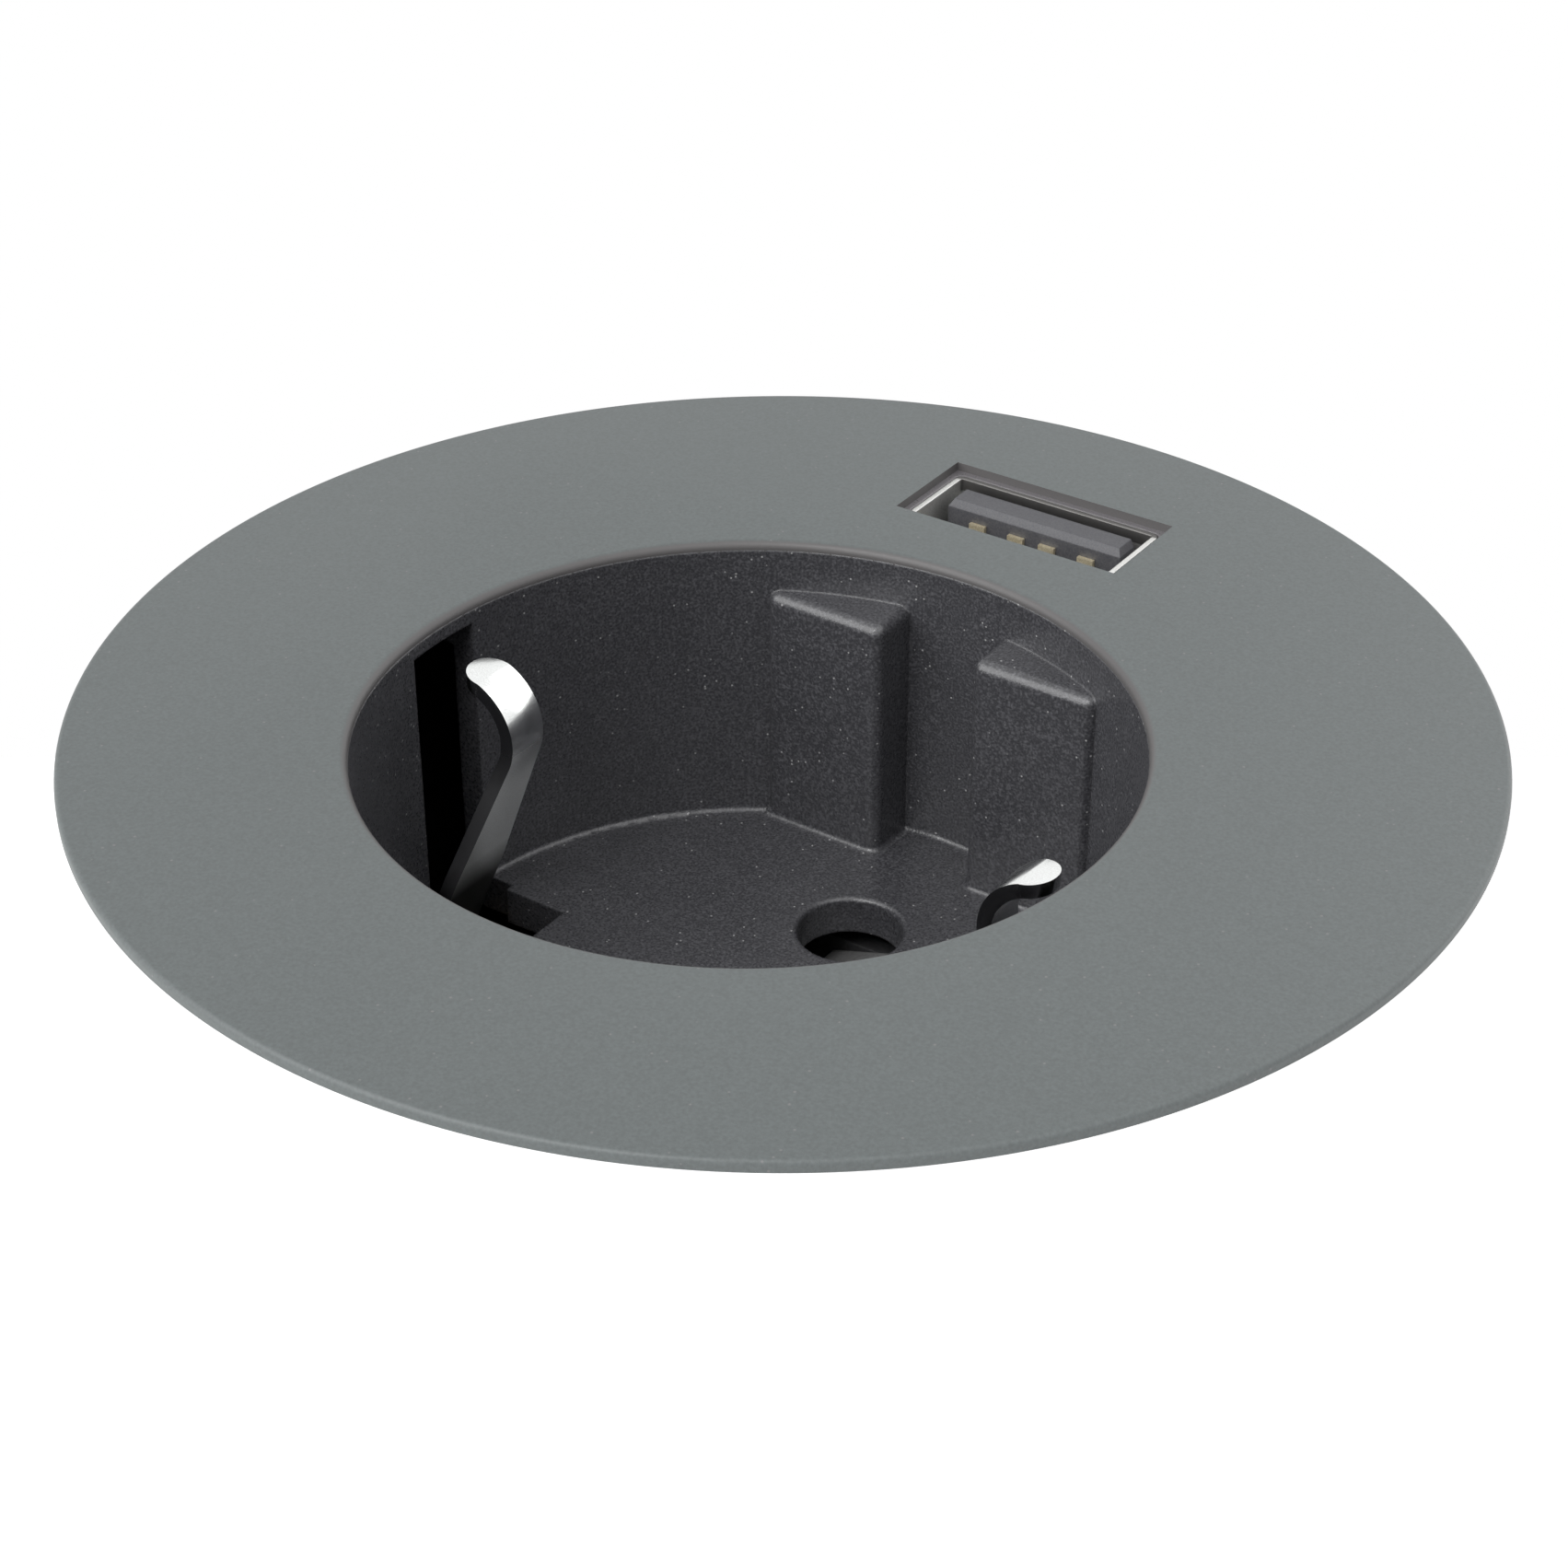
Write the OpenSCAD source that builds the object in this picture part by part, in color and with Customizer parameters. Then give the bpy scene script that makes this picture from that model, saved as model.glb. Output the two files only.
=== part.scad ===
// Round desk socket: an earthed mains socket well and one charging port under a thin flange.
// Millimetres. The origin is the centre of the flange's underside, where it seats on the desk.
// +Z points up out of the desk and +Y points from the well towards the charging port.

/* [Flange] */
// How far the flange reaches past the neck
flange_over = 4; // [3:0.5:8]
// Thickness of the flange plate
flange_t = 0.6; // [0.5:0.1:1.4]
// Rounding of the flange's outer edge
flange_round = 0.28; // [0.1:0.02:0.4]
// Rounding of the plate's lip into the well
lip_round = 0.45; // [0.2:0.05:0.48]

/* [Socket well] */
// Inside diameter of the well
well_d = 39.6; // [39:0.1:40.4]
// Depth of the well below the top of the flange
well_depth = 17.5; // [17:0.1:19]
// Distance of the well's centre from the flange's centre
well_shift = 3; // [2:0.1:3.4]
// Wall thickness of the well
well_wall = 1.4; // [1.2:0.1:2.2]
// Thickness of the well's floor
floor_t = 2.2; // [1.6:0.1:3]
// Concave rounding where the floor meets the wall
floor_round = 0.35; // [0.2:0.05:0.8]
// Distance between the two pin holes
pin_pitch = 19; // [18.5:0.1:19.5]
// Diameter of a pin hole
pin_hole_d = 5.8; // [5.2:0.1:6.4]
// Rounding of the pin hole's mouth
pin_hole_round = 0.3; // [0.1:0.05:0.5]
// How far the guide blocks stand in from the well's wall
key_reach = 3.3; // [2.3:0.1:3.6]
// Width across a pair of guide blocks
key_w = 20.8; // [16:0.2:22]
// Depth of the guide blocks' tops below the flange top
key_drop = 3; // [2:0.1:6]
// Width of the groove between the guide blocks
key_groove_w = 5.8; // [4:0.1:8]
// Rounding of the guide blocks' upright edges
key_round = 0.6; // [0.3:0.1:1]

/* [Earth clips] */
// Width of the slot that a clip moves in
slot_w = 4.8; // [4.6:0.1:6]
// Depth of the slot's upper end below the flange top
slot_drop = 1.3; // [1:0.1:3]
// Width of the narrow end of the floor slot
notch_w = 3.8; // [3:0.1:4.4]
// How far the floor slot reaches in from the well's wall
notch_reach = 5.9; // [5:0.1:6.4]
// How far in from the well's wall the floor slot is wide
notch_wide = 1.9; // [1.6:0.1:2.6]
// Thickness of the spring leaf
clip_t = 0.8; // [0.6:0.05:0.9]
// Width of the leaf at its curled top
clip_top_w = 2.6; // [2:0.1:3.6]
// Width of the leaf at its root
clip_root_w = 4.2; // [3.6:0.1:4.2]
// How far the leaf's bulge stands in from the well's wall
clip_reach = 5.6; // [5:0.1:5.8]
// Outer radius of the curl
clip_curl_r = 3.45; // [3:0.05:3.6]
// Height of the curl's centre below the flange top
clip_curl_drop = 5.35; // [5.3:0.05:6]
// Lean of the leaf below the curl, in degrees
clip_lean = 23; // [22:0.5:23.5]
// Depth of the leaf's root below the floor
root_drop = 0.5; // [0.4:0.1:1]
// Depth below the flange top at which the leaf starts to widen
widen_from = 6.5; // [6:0.5:9]
// Depth below the flange top at which the leaf has its full width
widen_to = 15; // [12:0.5:16]

/* [Charging port] */
// Distance from the well's wall to the port's centre
port_gap = 7.9; // [7.6:0.1:8.2]
// Length of the port's metal shell
shell_l = 13; // [12.9:0.05:13.2]
// Width of the port's metal shell
shell_w = 5.6; // [5.5:0.05:5.8]
// Ledge round the shell inside the window of the flange
window_ledge = 0.47; // [0.3:0.01:0.6]
// Sheet thickness of the shell
shell_t = 0.3; // [0.2:0.05:0.4]
// Height of the shell
shell_h = 13.4; // [12:0.1:14]
// Length of the tongue
tongue_l = 11.1; // [10.6:0.1:11.3]
// Thickness of the tongue
tongue_t = 1.6; // [1.5:0.05:1.9]
// Distance between the two outer contacts
contact_outer = 7; // [6.8:0.1:7.2]
// Distance between the two inner contacts
contact_inner = 2; // [1.8:0.1:2.2]
// Width of a contact
contact_w = 1; // [0.8:0.1:1.2]

/* [Body under the desk] */
// Room from the well's far side to the smooth neck, which passes a 65 mm hole
neck_room = 7.8; // [7.8:0.1:8.1]
// Length of the smooth neck
neck_h = 8; // [7:0.5:12]
// Thickness of the moulding's deck
deck_t = 2.4; // [2:0.1:3]
// Room for the power unit between the contact carrier and the base cover
power_room = 13.3; // [13.3:0.1:18]
// Wall of the housing at the thread's root
housing_wall = 1.7; // [1.5:0.1:1.8]
// Thickness of the base cover
base_t = 2.4; // [2:0.1:3.2]

/* [Thread and clamp] */
// Rise of the thread in one turn
lead = 6; // [5.5:0.5:7]
// Depth of the thread
thread_depth = 1; // [0.8:0.1:1.1]
// Running gap of the thread
thread_gap = 0.4; // [0.35:0.05:0.5]
// Thickness of the desk top at rest
desk_t = 20; // [12:1:26]
// Thickness of the clamp washer
washer_t = 2; // [1.5:0.1:3]
// Width of the clamp washer's ring
washer_w = 6.5; // [5.5:0.5:10]
// Height of the ring nut
nut_h = 10; // [9:0.5:12]
// Wall of the ring nut round its bore
nut_wall = 5.2; // [4.8:0.2:6]
// Number of grip hollows round the nut
nut_grips = 24; // [12:2:36]

/* [Contacts and shutter] */
// Diameter of a plug pin
pin_d = 4.8; // [4:0.1:4.8]
// Thickness of the shutter
shutter_t = 3; // [2.6:0.1:3.2]
// Travel of the shutter
shutter_travel = 6; // [5.6:0.1:6.4]
// Height of the contact carrier
carrier_h = 14; // [13:0.5:15]
// Diameter of the spring's wire
spring_wire = 0.4; // [0.3:0.05:0.5]
// Mean diameter of the spring
spring_d = 2.6; // [2.2:0.1:2.8]
// Number of coils in the spring
spring_turns = 5; // [4:1:6]

/* [Power unit] */
// Gap between the power board and the housing's wall
board_gap = 6.7; // [6:0.1:8]
// Thickness of both circuit boards
board_t = 1.6; // [1.2:0.1:1.6]
// Height of the pillars under the power board
pillar_h = 4; // [3.6:0.1:4.6]
// Diameter of the cord inlet
cord_d = 8.6; // [7:0.1:9]

/* [Hidden] */
$fn = 96;

// Cuts run this far past the faces they open
over = 1;
// Gap between parts that slide on each other, and between parts that only stand near each other
slide_gap = 0.1;
free_gap = 0.3;
// How much wider in radius a hole is than the screw or strip that passes it
hole_ease = 0.2;

// Heights of the main planes: the moulding's deck sits in a shallow recess of the plate's underside
flange_top = flange_t;
deck_top = 0.1;
floor_top = flange_top - well_depth;
floor_under = floor_top - floor_t;
shutter_top = floor_under - free_gap;
carrier_top = shutter_top - shutter_t - free_gap;
carrier_under = carrier_top - carrier_h;
housing_h = power_room - carrier_under;
base_under = -housing_h - base_t;
board_top = -housing_h + pillar_h + board_t;

// Radii
well_r = well_d / 2;
well_out_r = well_r + well_wall;
neck_r = well_out_r + well_shift + neck_room;
flange_r = neck_r + flange_over;
crest_r = neck_r - slide_gap;
root_r = crest_r - thread_depth;
cavity_r = root_r - housing_wall;

// Places in plan that follow the well's wall
key_face = well_r - key_reach;
clip_bulge = well_r - clip_reach;
port_y = well_r - well_shift + port_gap;
cord_in = 9.2;
cord_y = cord_in - cavity_r;
window_l = shell_l + 2 * window_ledge;
window_w = shell_w + 2 * window_ledge;

// The spring leaf: the curl's centre line, the lean below it and the root it swings about
clip_mid_r = clip_curl_r - clip_t / 2;
curl_x = clip_bulge + clip_curl_r;
curl_z = flange_top - clip_curl_drop;
curl_tip_a = 95;
root_z = floor_under - root_drop;
lean_x = curl_x - clip_mid_r * cos(clip_lean);
lean_z = curl_z - clip_mid_r * sin(clip_lean);
lean_l = (lean_z - root_z) / cos(clip_lean);
root_x = lean_x + lean_l * sin(clip_lean);

// The earth bar hugs the carrier right under the leaves' roots
bar_t = clip_t;
bar_x = root_x - bar_t / 2;
bar_top = root_z - clip_t / 2 - slide_gap / 2;

// A ring or a disc with its axis upright: from z0 to z1
module ring(r_out, r_in, z0, z1) {
    difference() {
        translate([0, 0, z0]) cylinder(r = r_out, h = z1 - z0);
        translate([0, 0, z0 - over]) cylinder(r = r_in, h = z1 - z0 + 2 * over);
    }
}

// A box given by its centre in plan, its size in plan and its two heights
module slab(x, y, l, w, z0, z1) {
    translate([x - l / 2, y - w / 2, z0]) cube([l, w, z1 - z0]);
}

// A slab with upright edges rounded to r
module soft_slab(x, y, l, w, z0, z1, r) {
    slab(x, y, l - 2 * r, w, z0, z1);
    slab(x, y, l, w - 2 * r, z0, z1);
    for (i = [-1, 1], j = [-1, 1])
        translate([x + i * (l / 2 - r), y + j * (w / 2 - r), z0]) cylinder(r = r, h = z1 - z0, $fn = 24);
}

// Everything in the well is placed from the well's centre
module at_well() {
    translate([0, -well_shift, 0]) children();
}

// What one side of the well has, the other has mirrored
module both_x() {
    children();
    mirror([1, 0, 0]) children();
}

module both_y() {
    children();
    mirror([0, 1, 0]) children();
}

// FLANGE PLATE: pressed sheet, painted, held by four studs under it
stud_r = 1.5;
stud_h = 1.8;
stud_in = 4.5;
stud_a = [22, 158, 210, 330];
window_round = 0.1;

module at_studs() {
    for (a = stud_a) rotate([0, 0, a]) translate([neck_r - stud_in, 0, 0]) children();
}

module plate_edge() {
    rotate_extrude($fn = 180) {
        square([flange_r - flange_round, flange_t]);
        square([flange_r, flange_t - flange_round]);
        translate([flange_r - flange_round, flange_t - flange_round]) circle(r = flange_round, $fn = 32);
    }
}

// The opening over the well widens upwards round the rounded lip
module lip_cut() {
    rotate_extrude($fn = 180)
        difference() {
            translate([0, -over]) square([well_r + lip_round, flange_t + 2 * over]);
            translate([well_r, -2 * over]) square([2 * lip_round, 2 * over + flange_t - lip_round]);
            translate([well_r + lip_round, flange_t - lip_round]) circle(r = lip_round, $fn = 32);
        }
}

module trim_plate() {
    color([0.49, 0.51, 0.51]) {
        difference() {
            plate_edge();
            translate([0, 0, -over]) cylinder(r = neck_r + 2 * slide_gap, h = over + deck_top);
            at_well() lip_cut();
            soft_slab(0, port_y, window_l, window_w, -over, flange_t + over, window_round);
        }
        at_studs() translate([0, 0, -stud_h]) cylinder(r = stud_r, h = stud_h + flange_t / 2);
    }
}

// FRONT MOULDING: deck, well, port sleeve and screw bosses in one piece
boss_r = 2.7;
boss_h = 5.6;
pilot_r = 1.25;
spigot_h = 3.6;
spigot_t = 1.5;
screw_in = 3.4;
housing_screw_r = cavity_r - screw_in;
housing_screw_a = [45, 135, 213, 327];
post_in = 4.8;
post_at = [well_r - post_in, pin_pitch / 2];
post_r = 2.4;
sleeve_t = 1.3;
port_boss_out = 4.3;
port_boss_near = 2.3;
port_boss_x = shell_l / 2 + port_boss_out;
port_boss_y = port_y - port_boss_near;
port_boss_r = 1.9;
shell_top = deck_top;
shell_round = 0.45;
sleeve_under = shell_top - shell_h;

module well_cut() {
    rotate_extrude($fn = 180) {
        translate([0, floor_top + floor_round]) square([well_r, well_depth + over]);
        translate([0, floor_top]) square([well_r - floor_round, 2 * floor_round]);
        translate([well_r - floor_round, floor_top + floor_round]) circle(r = floor_round, $fn = 32);
    }
}

// One guide block beside the groove, on the +Y side: all its edges are round, with a fillet at its foot
module guide_block() {
    r = key_round;
    x0 = key_groove_w / 2;
    l = key_w / 2 - x0;
    x = x0 + l / 2;
    w = 2 * key_reach;
    y = key_face + w / 2;
    key_top = flange_top - key_drop;
    soft_slab(x, y, l, w, floor_top - over / 2, key_top - r, r);
    slab(x, y, l - 2 * r, w - 2 * r, floor_top, key_top);
    translate([x0 + r, key_face + r, key_top - r]) rotate([0, 90, 0]) cylinder(r = r, h = l - 2 * r, $fn = 24);
    for (x = [x0 + r, x0 + l - r]) translate([x, key_face + r, key_top - r]) {
        sphere(r = r, $fn = 24);
        rotate([-90, 0, 0]) cylinder(r = r, h = w, $fn = 24);
    }
    difference() {
        slab(x + r / 2, key_face, l - r, 2 * floor_round, floor_top - over / 2, floor_top + floor_round);
        translate([x0, key_face - floor_round, floor_top + floor_round])
            rotate([0, 90, 0]) cylinder(r = floor_round, h = l + over, $fn = 32);
    }
    difference() {
        slab(x0, y + r, 2 * floor_round, w, floor_top - over / 2, floor_top + floor_round);
        translate([x0 - floor_round, key_face, floor_top + floor_round])
            rotate([-90, 0, 0]) cylinder(r = floor_round, h = 2 * w, $fn = 32);
    }
    translate([x0 + r, key_face + r, floor_top]) rotate_extrude() difference() {
        square([r + floor_round, floor_round]);
        translate([r + floor_round, floor_round]) circle(r = floor_round, $fn = 32);
    }
}

module guide_pair() {
    intersection() {
        translate([0, 0, floor_top - over / 2]) cylinder(r = well_r + well_wall / 2, h = well_depth);
        both_x() guide_block();
    }
}

module pin_hole() {
    r = pin_hole_d / 2;
    translate([0, pin_pitch / 2, 0]) {
        translate([0, 0, floor_under - over]) cylinder(r = r, h = floor_t + over);
        rotate_extrude()
            difference() {
                translate([0, floor_top - pin_hole_round])
                    square([r + pin_hole_round, pin_hole_round + over]);
                translate([r + pin_hole_round, floor_top - pin_hole_round])
                    circle(r = pin_hole_round, $fn = 32);
            }
    }
}

// The slot through the wall that the leaf moves in, and the opening in the floor below it
module clip_slot() {
    z0 = floor_under - over;
    wide = notch_wide + well_wall + over;
    narrow = notch_reach + well_wall + over;
    translate([well_r - notch_wide, -slot_w / 2, z0]) cube([wide, slot_w, flange_top - slot_drop - z0]);
    translate([well_r - notch_reach, -notch_w / 2, z0]) cube([narrow, notch_w, floor_t + 2 * over]);
}

module front_moulding() {
    color([0.21, 0.21, 0.22]) {
        difference() {
            union() {
                translate([0, 0, -deck_t]) cylinder(r = neck_r, h = deck_t + deck_top);
                ring(cavity_r - slide_gap, cavity_r - slide_gap - spigot_t, -deck_t - spigot_h, -deck_t);
                at_well() {
                    translate([0, 0, floor_under]) cylinder(r = well_out_r, h = -floor_under);
                    for (i = [-1, 1], j = [-1, 1])
                        translate([i * post_at[0], j * post_at[1], carrier_top])
                            cylinder(r = post_r, h = floor_under - carrier_top + over / 2);
                }
                intersection() {
                    soft_slab(0, port_y, shell_l + 2 * sleeve_t, shell_w + 2 * sleeve_t, sleeve_under,
                        0, sleeve_t);
                    translate([0, 0, sleeve_under]) cylinder(r = cavity_r - slide_gap, h = -sleeve_under);
                }
                for (a = housing_screw_a) rotate([0, 0, a])
                    translate([housing_screw_r, 0, -deck_t - boss_h])
                        cylinder(r = boss_r, h = boss_h + over / 2);
                for (s = [-1, 1]) translate([s * port_boss_x, port_boss_y, sleeve_under])
                    cylinder(r = port_boss_r, h = -sleeve_under);
            }
            at_well() {
                well_cut();
                both_x() clip_slot();
                both_y() pin_hole();
                for (i = [-1, 1], j = [-1, 1])
                    translate([i * post_at[0], j * post_at[1], carrier_top - over])
                        cylinder(r = pilot_r, h = floor_under - carrier_top + over);
            }
            soft_slab(0, port_y, shell_l + slide_gap, shell_w + slide_gap, sleeve_under - over, over,
                shell_round + slide_gap / 2);
            at_studs() translate([0, 0, -stud_h - free_gap])
                cylinder(r = stud_r + slide_gap / 2, h = deck_t);
            for (a = housing_screw_a) rotate([0, 0, a])
                translate([housing_screw_r, 0, -deck_t - boss_h - over])
                    cylinder(r = pilot_r, h = boss_h + over);
            for (s = [-1, 1]) translate([s * port_boss_x, port_boss_y, sleeve_under - over])
                cylinder(r = pilot_r / 2, h = over + port_screw_l);
        }
        at_well() both_y() guide_pair();
    }
}

// EARTH CLIPS: spring leaves, curled over at the top, swinging about their rounded root
function heading(a) = [cos(a), sin(a)];

// The leaf seen from its edge, drawn about the curl's centre
module leaf_outline() {
    far = 3 * clip_curl_r;
    end_a = 180 + clip_lean;
    open_a = 360 + curl_tip_a - end_a;
    difference() {
        circle(r = clip_curl_r);
        circle(r = clip_curl_r - clip_t);
        polygon(concat([[0, 0]], [for (i = [0 : 5]) far * heading(end_a + open_a * i / 5)]));
    }
    translate(clip_mid_r * heading(curl_tip_a)) circle(r = clip_t / 2, $fn = 32);
    rotate(end_a) {
        translate([clip_mid_r - clip_t / 2, 0]) square([clip_t, lean_l]);
        translate([clip_mid_r, lean_l]) circle(r = clip_t / 2, $fn = 32);
    }
}

// Takes the corners off the leaf's free end, so that it is round seen from above
module tip_cut() {
    r = clip_top_w / 2;
    x1 = curl_x + clip_mid_r * cos(curl_tip_a) + clip_t / 2;
    difference() {
        slab(x1, 0, 2 * r, 4 * r, curl_z, flange_top);
        translate([x1 - r, 0, curl_z - over]) cylinder(r = r, h = flange_top - curl_z + 2 * over);
    }
}

module earth_leaf() {
    color([0.78, 0.78, 0.77]) difference() {
        intersection() {
            translate([curl_x, clip_root_w / 2, curl_z]) rotate([90, 0, 0]) linear_extrude(clip_root_w)
                leaf_outline();
            translate([clip_bulge - over, 0, 0]) rotate([90, 0, 90]) linear_extrude(well_r)
                polygon([
                    [-clip_root_w / 2, root_z - over], [clip_root_w / 2, root_z - over],
                    [clip_root_w / 2, flange_top - widen_to], [clip_top_w / 2, flange_top - widen_from],
                    [clip_top_w / 2, 0], [-clip_top_w / 2, 0],
                    [-clip_top_w / 2, flange_top - widen_from], [-clip_root_w / 2, flange_top - widen_to]
                ]);
        }
        tip_cut();
    }
}

module earth_clip_right() {
    at_well() earth_leaf();
}

module earth_clip_left() {
    at_well() mirror([1, 0, 0]) earth_leaf();
}

// SHUTTER: two ramped pads under the pin holes, pushed aside by the pins against a spring
pad_l = pin_hole_d + 0.8;
pad_w = pin_hole_d + 1;
pad_low = 0.8;
shutter_under = shutter_top - shutter_t;
shutter_mid = (shutter_top + shutter_under) / 2;
seat_x = pad_l / 2 + 0.3;
stop_x = seat_x + shutter_travel + spring_wire * spring_turns + 0.4;
spring_peg_r = 0.8;
spring_peg_l = 1.4;

module shutter_pad() {
    translate([0, pin_pitch / 2 + pad_w / 2, 0]) rotate([90, 0, 0]) linear_extrude(pad_w)
        polygon([
            [-pad_l / 2, shutter_under], [pad_l / 2, shutter_under],
            [pad_l / 2, shutter_top], [-pad_l / 2, shutter_under + pad_low]
        ]);
}

module shutter() {
    bridge_t = shutter_t / 2;
    color([0.1, 0.1, 0.1]) at_well() {
        both_y() shutter_pad();
        slab(0, 0, pad_l, pin_pitch - pad_w + over, shutter_under, shutter_under + bridge_t);
        slab(seat_x / 2, 0, seat_x, spring_d + 2 * spring_wire, shutter_under, shutter_top);
        translate([seat_x - over / 2, 0, shutter_mid]) rotate([0, 90, 0])
            cylinder(r = spring_peg_r, h = spring_peg_l + over / 2);
    }
}

// A tube swept along a list of points, with its rings square to the path
function unit(v) = v / norm(v);
function way(p, i) = unit(p[min(i + 1, len(p) - 1)] - p[max(i - 1, 0)]);
function across(t) = unit(cross(t, abs(t[0]) < 0.8 ? [1, 0, 0] : [0, 1, 0]));

module swept_tube(p, r, sides) {
    n = len(p);
    rings = [for (i = [0 : n - 1])
        let (t = way(p, i), u = across(t), v = cross(t, u))
        for (k = [0 : sides - 1]) p[i] + r * (cos(360 * k / sides) * u + sin(360 * k / sides) * v)];
    walls = [for (i = [0 : n - 2], k = [0 : sides - 1])
        let (a = i * sides + k, b = i * sides + (k + 1) % sides)
        each [[a, b + sides, b], [a, a + sides, b + sides]]];
    start = [for (k = [0 : sides - 1]) k];
    finish = [for (k = [sides - 1 : -1 : 0]) (n - 1) * sides + k];
    polyhedron(points = rings, faces = concat(walls, [start, finish]), convexity = 8);
}

module shutter_spring() {
    steps = 12;
    x0 = seat_x + spring_wire / 2 + slide_gap / 2;
    x1 = stop_x - spring_wire / 2 - slide_gap / 2;
    coil = [for (i = [0 : spring_turns * steps])
        [x0 + (x1 - x0) * i / (spring_turns * steps), spring_d / 2 * cos(360 * i / steps),
            spring_d / 2 * sin(360 * i / steps)]];
    color([0.72, 0.72, 0.7]) at_well() translate([0, 0, shutter_mid]) swept_tube(coil, spring_wire / 2, 6);
}

// Screws: pan heads with a crossed recess, shanks upwards from the head's seat
screw_fit = 0.02;

module screw(l, r, head_r, head_h) {
    translate([0, 0, -head_h / 2]) cylinder(r = r - screw_fit, h = l + head_h / 2, $fn = 32);
    difference() {
        translate([0, 0, -head_h]) cylinder(r = head_r, h = head_h, $fn = 48);
        slab(0, 0, 1.3 * head_r, head_r / 4, -head_h - over, -head_h / 2);
        slab(0, 0, head_r / 4, 1.3 * head_r, -head_h - over, -head_h / 2);
    }
}

// CONTACT CARRIER: the block that holds the pin contacts, with rails for the shutter
carrier_l = 2 * (bar_x - slide_gap / 2);
carrier_side = 5;
carrier_w = pin_pitch + 2 * carrier_side;
pocket_r = 4.8;
pocket_roof = 1.4;
mouth_r = pin_d / 2 + 0.7;
carrier_seat = 3;
screw_head_r = 2.5;
screw_head_h = 1.8;
bar_groove = 1.6;
lug_h = 4;
lug_t = 1.5;
block_l = 24;
block_w = 8.6;
block_h = 10;
block_top = carrier_under + 6.6;
block_y = -well_shift - carrier_w / 2 - slide_gap / 2 - block_w / 2;
branch_x = -8;
strip_w = 4;
strip_t = 0.6;
rail_w = 1.2;
rail_l = 17;
rail_x = 1.5;
stop_t = 1.4;
relief_l = 7.5;
relief_w = 8;
relief_in = 6.2;
relief_x = well_r - relief_in;

module carrier_body() {
    rail_y = pin_pitch / 2 + pad_w / 2 + free_gap;
    soft_slab(0, 0, carrier_l, carrier_w, carrier_under, carrier_top, 1.5);
    both_y() slab(rail_x, rail_y + rail_w / 2, rail_l, rail_w, carrier_top - over / 2,
        shutter_under + shutter_t / 2);
    slab(stop_x + stop_t / 2, 0, stop_t, spring_d + 2 * spring_wire, carrier_top - over / 2, shutter_top);
    both_x() slab(block_l / 2 + slide_gap / 2 + lug_t / 2, -carrier_w / 2 - block_w / 3, lug_t, block_w,
        block_top - lug_h, block_top);
}

module contact_carrier() {
    color([0.12, 0.12, 0.13]) at_well() difference() {
        carrier_body();
        both_y() translate([0, pin_pitch / 2, 0]) {
            translate([0, 0, carrier_under - over])
                cylinder(r = pocket_r, h = carrier_h - pocket_roof + over);
            translate([0, 0, carrier_under]) cylinder(r = mouth_r, h = carrier_h + over);
        }
        for (i = [-1, 1], j = [-1, 1]) translate([i * post_at[0], j * post_at[1], 0]) {
            translate([0, 0, carrier_under - over])
                cylinder(r = screw_head_r + 0.4, h = carrier_h - carrier_seat + over);
            translate([0, 0, carrier_under]) cylinder(r = pilot_r + 0.3, h = carrier_h + over);
        }
        slab(0, 0, carrier_l + over, strip_w + 0.6, carrier_under - over, carrier_under + bar_groove);
        slab(branch_x, -carrier_w / 4, strip_w + 0.6, carrier_w / 2 + over,
            carrier_under - over, carrier_under + bar_groove);
        both_x() translate([rivet_x, 0, carrier_under]) cylinder(r = rivet_r + slide_gap / 2, h = rivet_h);
        both_x() soft_slab(relief_x, 0, relief_l, relief_w, carrier_under + bar_groove + 1.2,
            carrier_top - 1.6, 1);
    }
}

module carrier_screws() {
    color([0.75, 0.76, 0.76]) at_well() for (i = [-1, 1], j = [-1, 1])
        translate([i * post_at[0], j * post_at[1], carrier_top - carrier_seat])
            screw(2 * carrier_seat, pilot_r, screw_head_r, screw_head_h);
}

// PIN CONTACTS: slit tulips with a flared mouth, a collar in the pocket and a strip to the terminal
tulip_h = 10;
tulip_t = 0.6;
collar_h = 1;

module tulip() {
    r_in = pin_d / 2 + slide_gap / 2;
    z0 = carrier_under;
    z1 = z0 + tulip_h;
    difference() {
        union() {
            translate([0, 0, z0]) cylinder(r = r_in + tulip_t, h = tulip_h - 1);
            translate([0, 0, z1 - 1]) cylinder(r1 = r_in + tulip_t, r2 = r_in + 2 * tulip_t, h = 1);
            translate([0, 0, z0]) cylinder(r = pocket_r - slide_gap / 2, h = collar_h);
        }
        translate([0, 0, z0 + collar_h]) cylinder(r = r_in, h = tulip_h);
        translate([0, 0, z1 - 1]) cylinder(r1 = r_in, r2 = r_in + tulip_t, h = 1 + over / 10);
        for (a = [45, 135]) rotate([0, 0, a]) slab(0, 0, 2 * pocket_r, 0.8, z0 + 2 * collar_h, z1 + over);
    }
}

strip_top = carrier_under - 0.05;
strip_in = 2.4;
strip_end = block_y + block_w / 2 - strip_in;

module strip(x, y0, y1) {
    slab(x, (y0 + y1) / 2, strip_w, abs(y1 - y0), strip_top - strip_t, strip_top);
}

module stem(y) {
    translate([0, y, strip_top - strip_t / 2]) cylinder(r = strip_w / 2, h = strip_t);
}

module line_contact() {
    y = -well_shift - pin_pitch / 2;
    color([0.8, 0.66, 0.32]) {
        translate([0, y, 0]) tulip();
        stem(y);
        strip(0, y + strip_w / 2, strip_end);
    }
}

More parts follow.
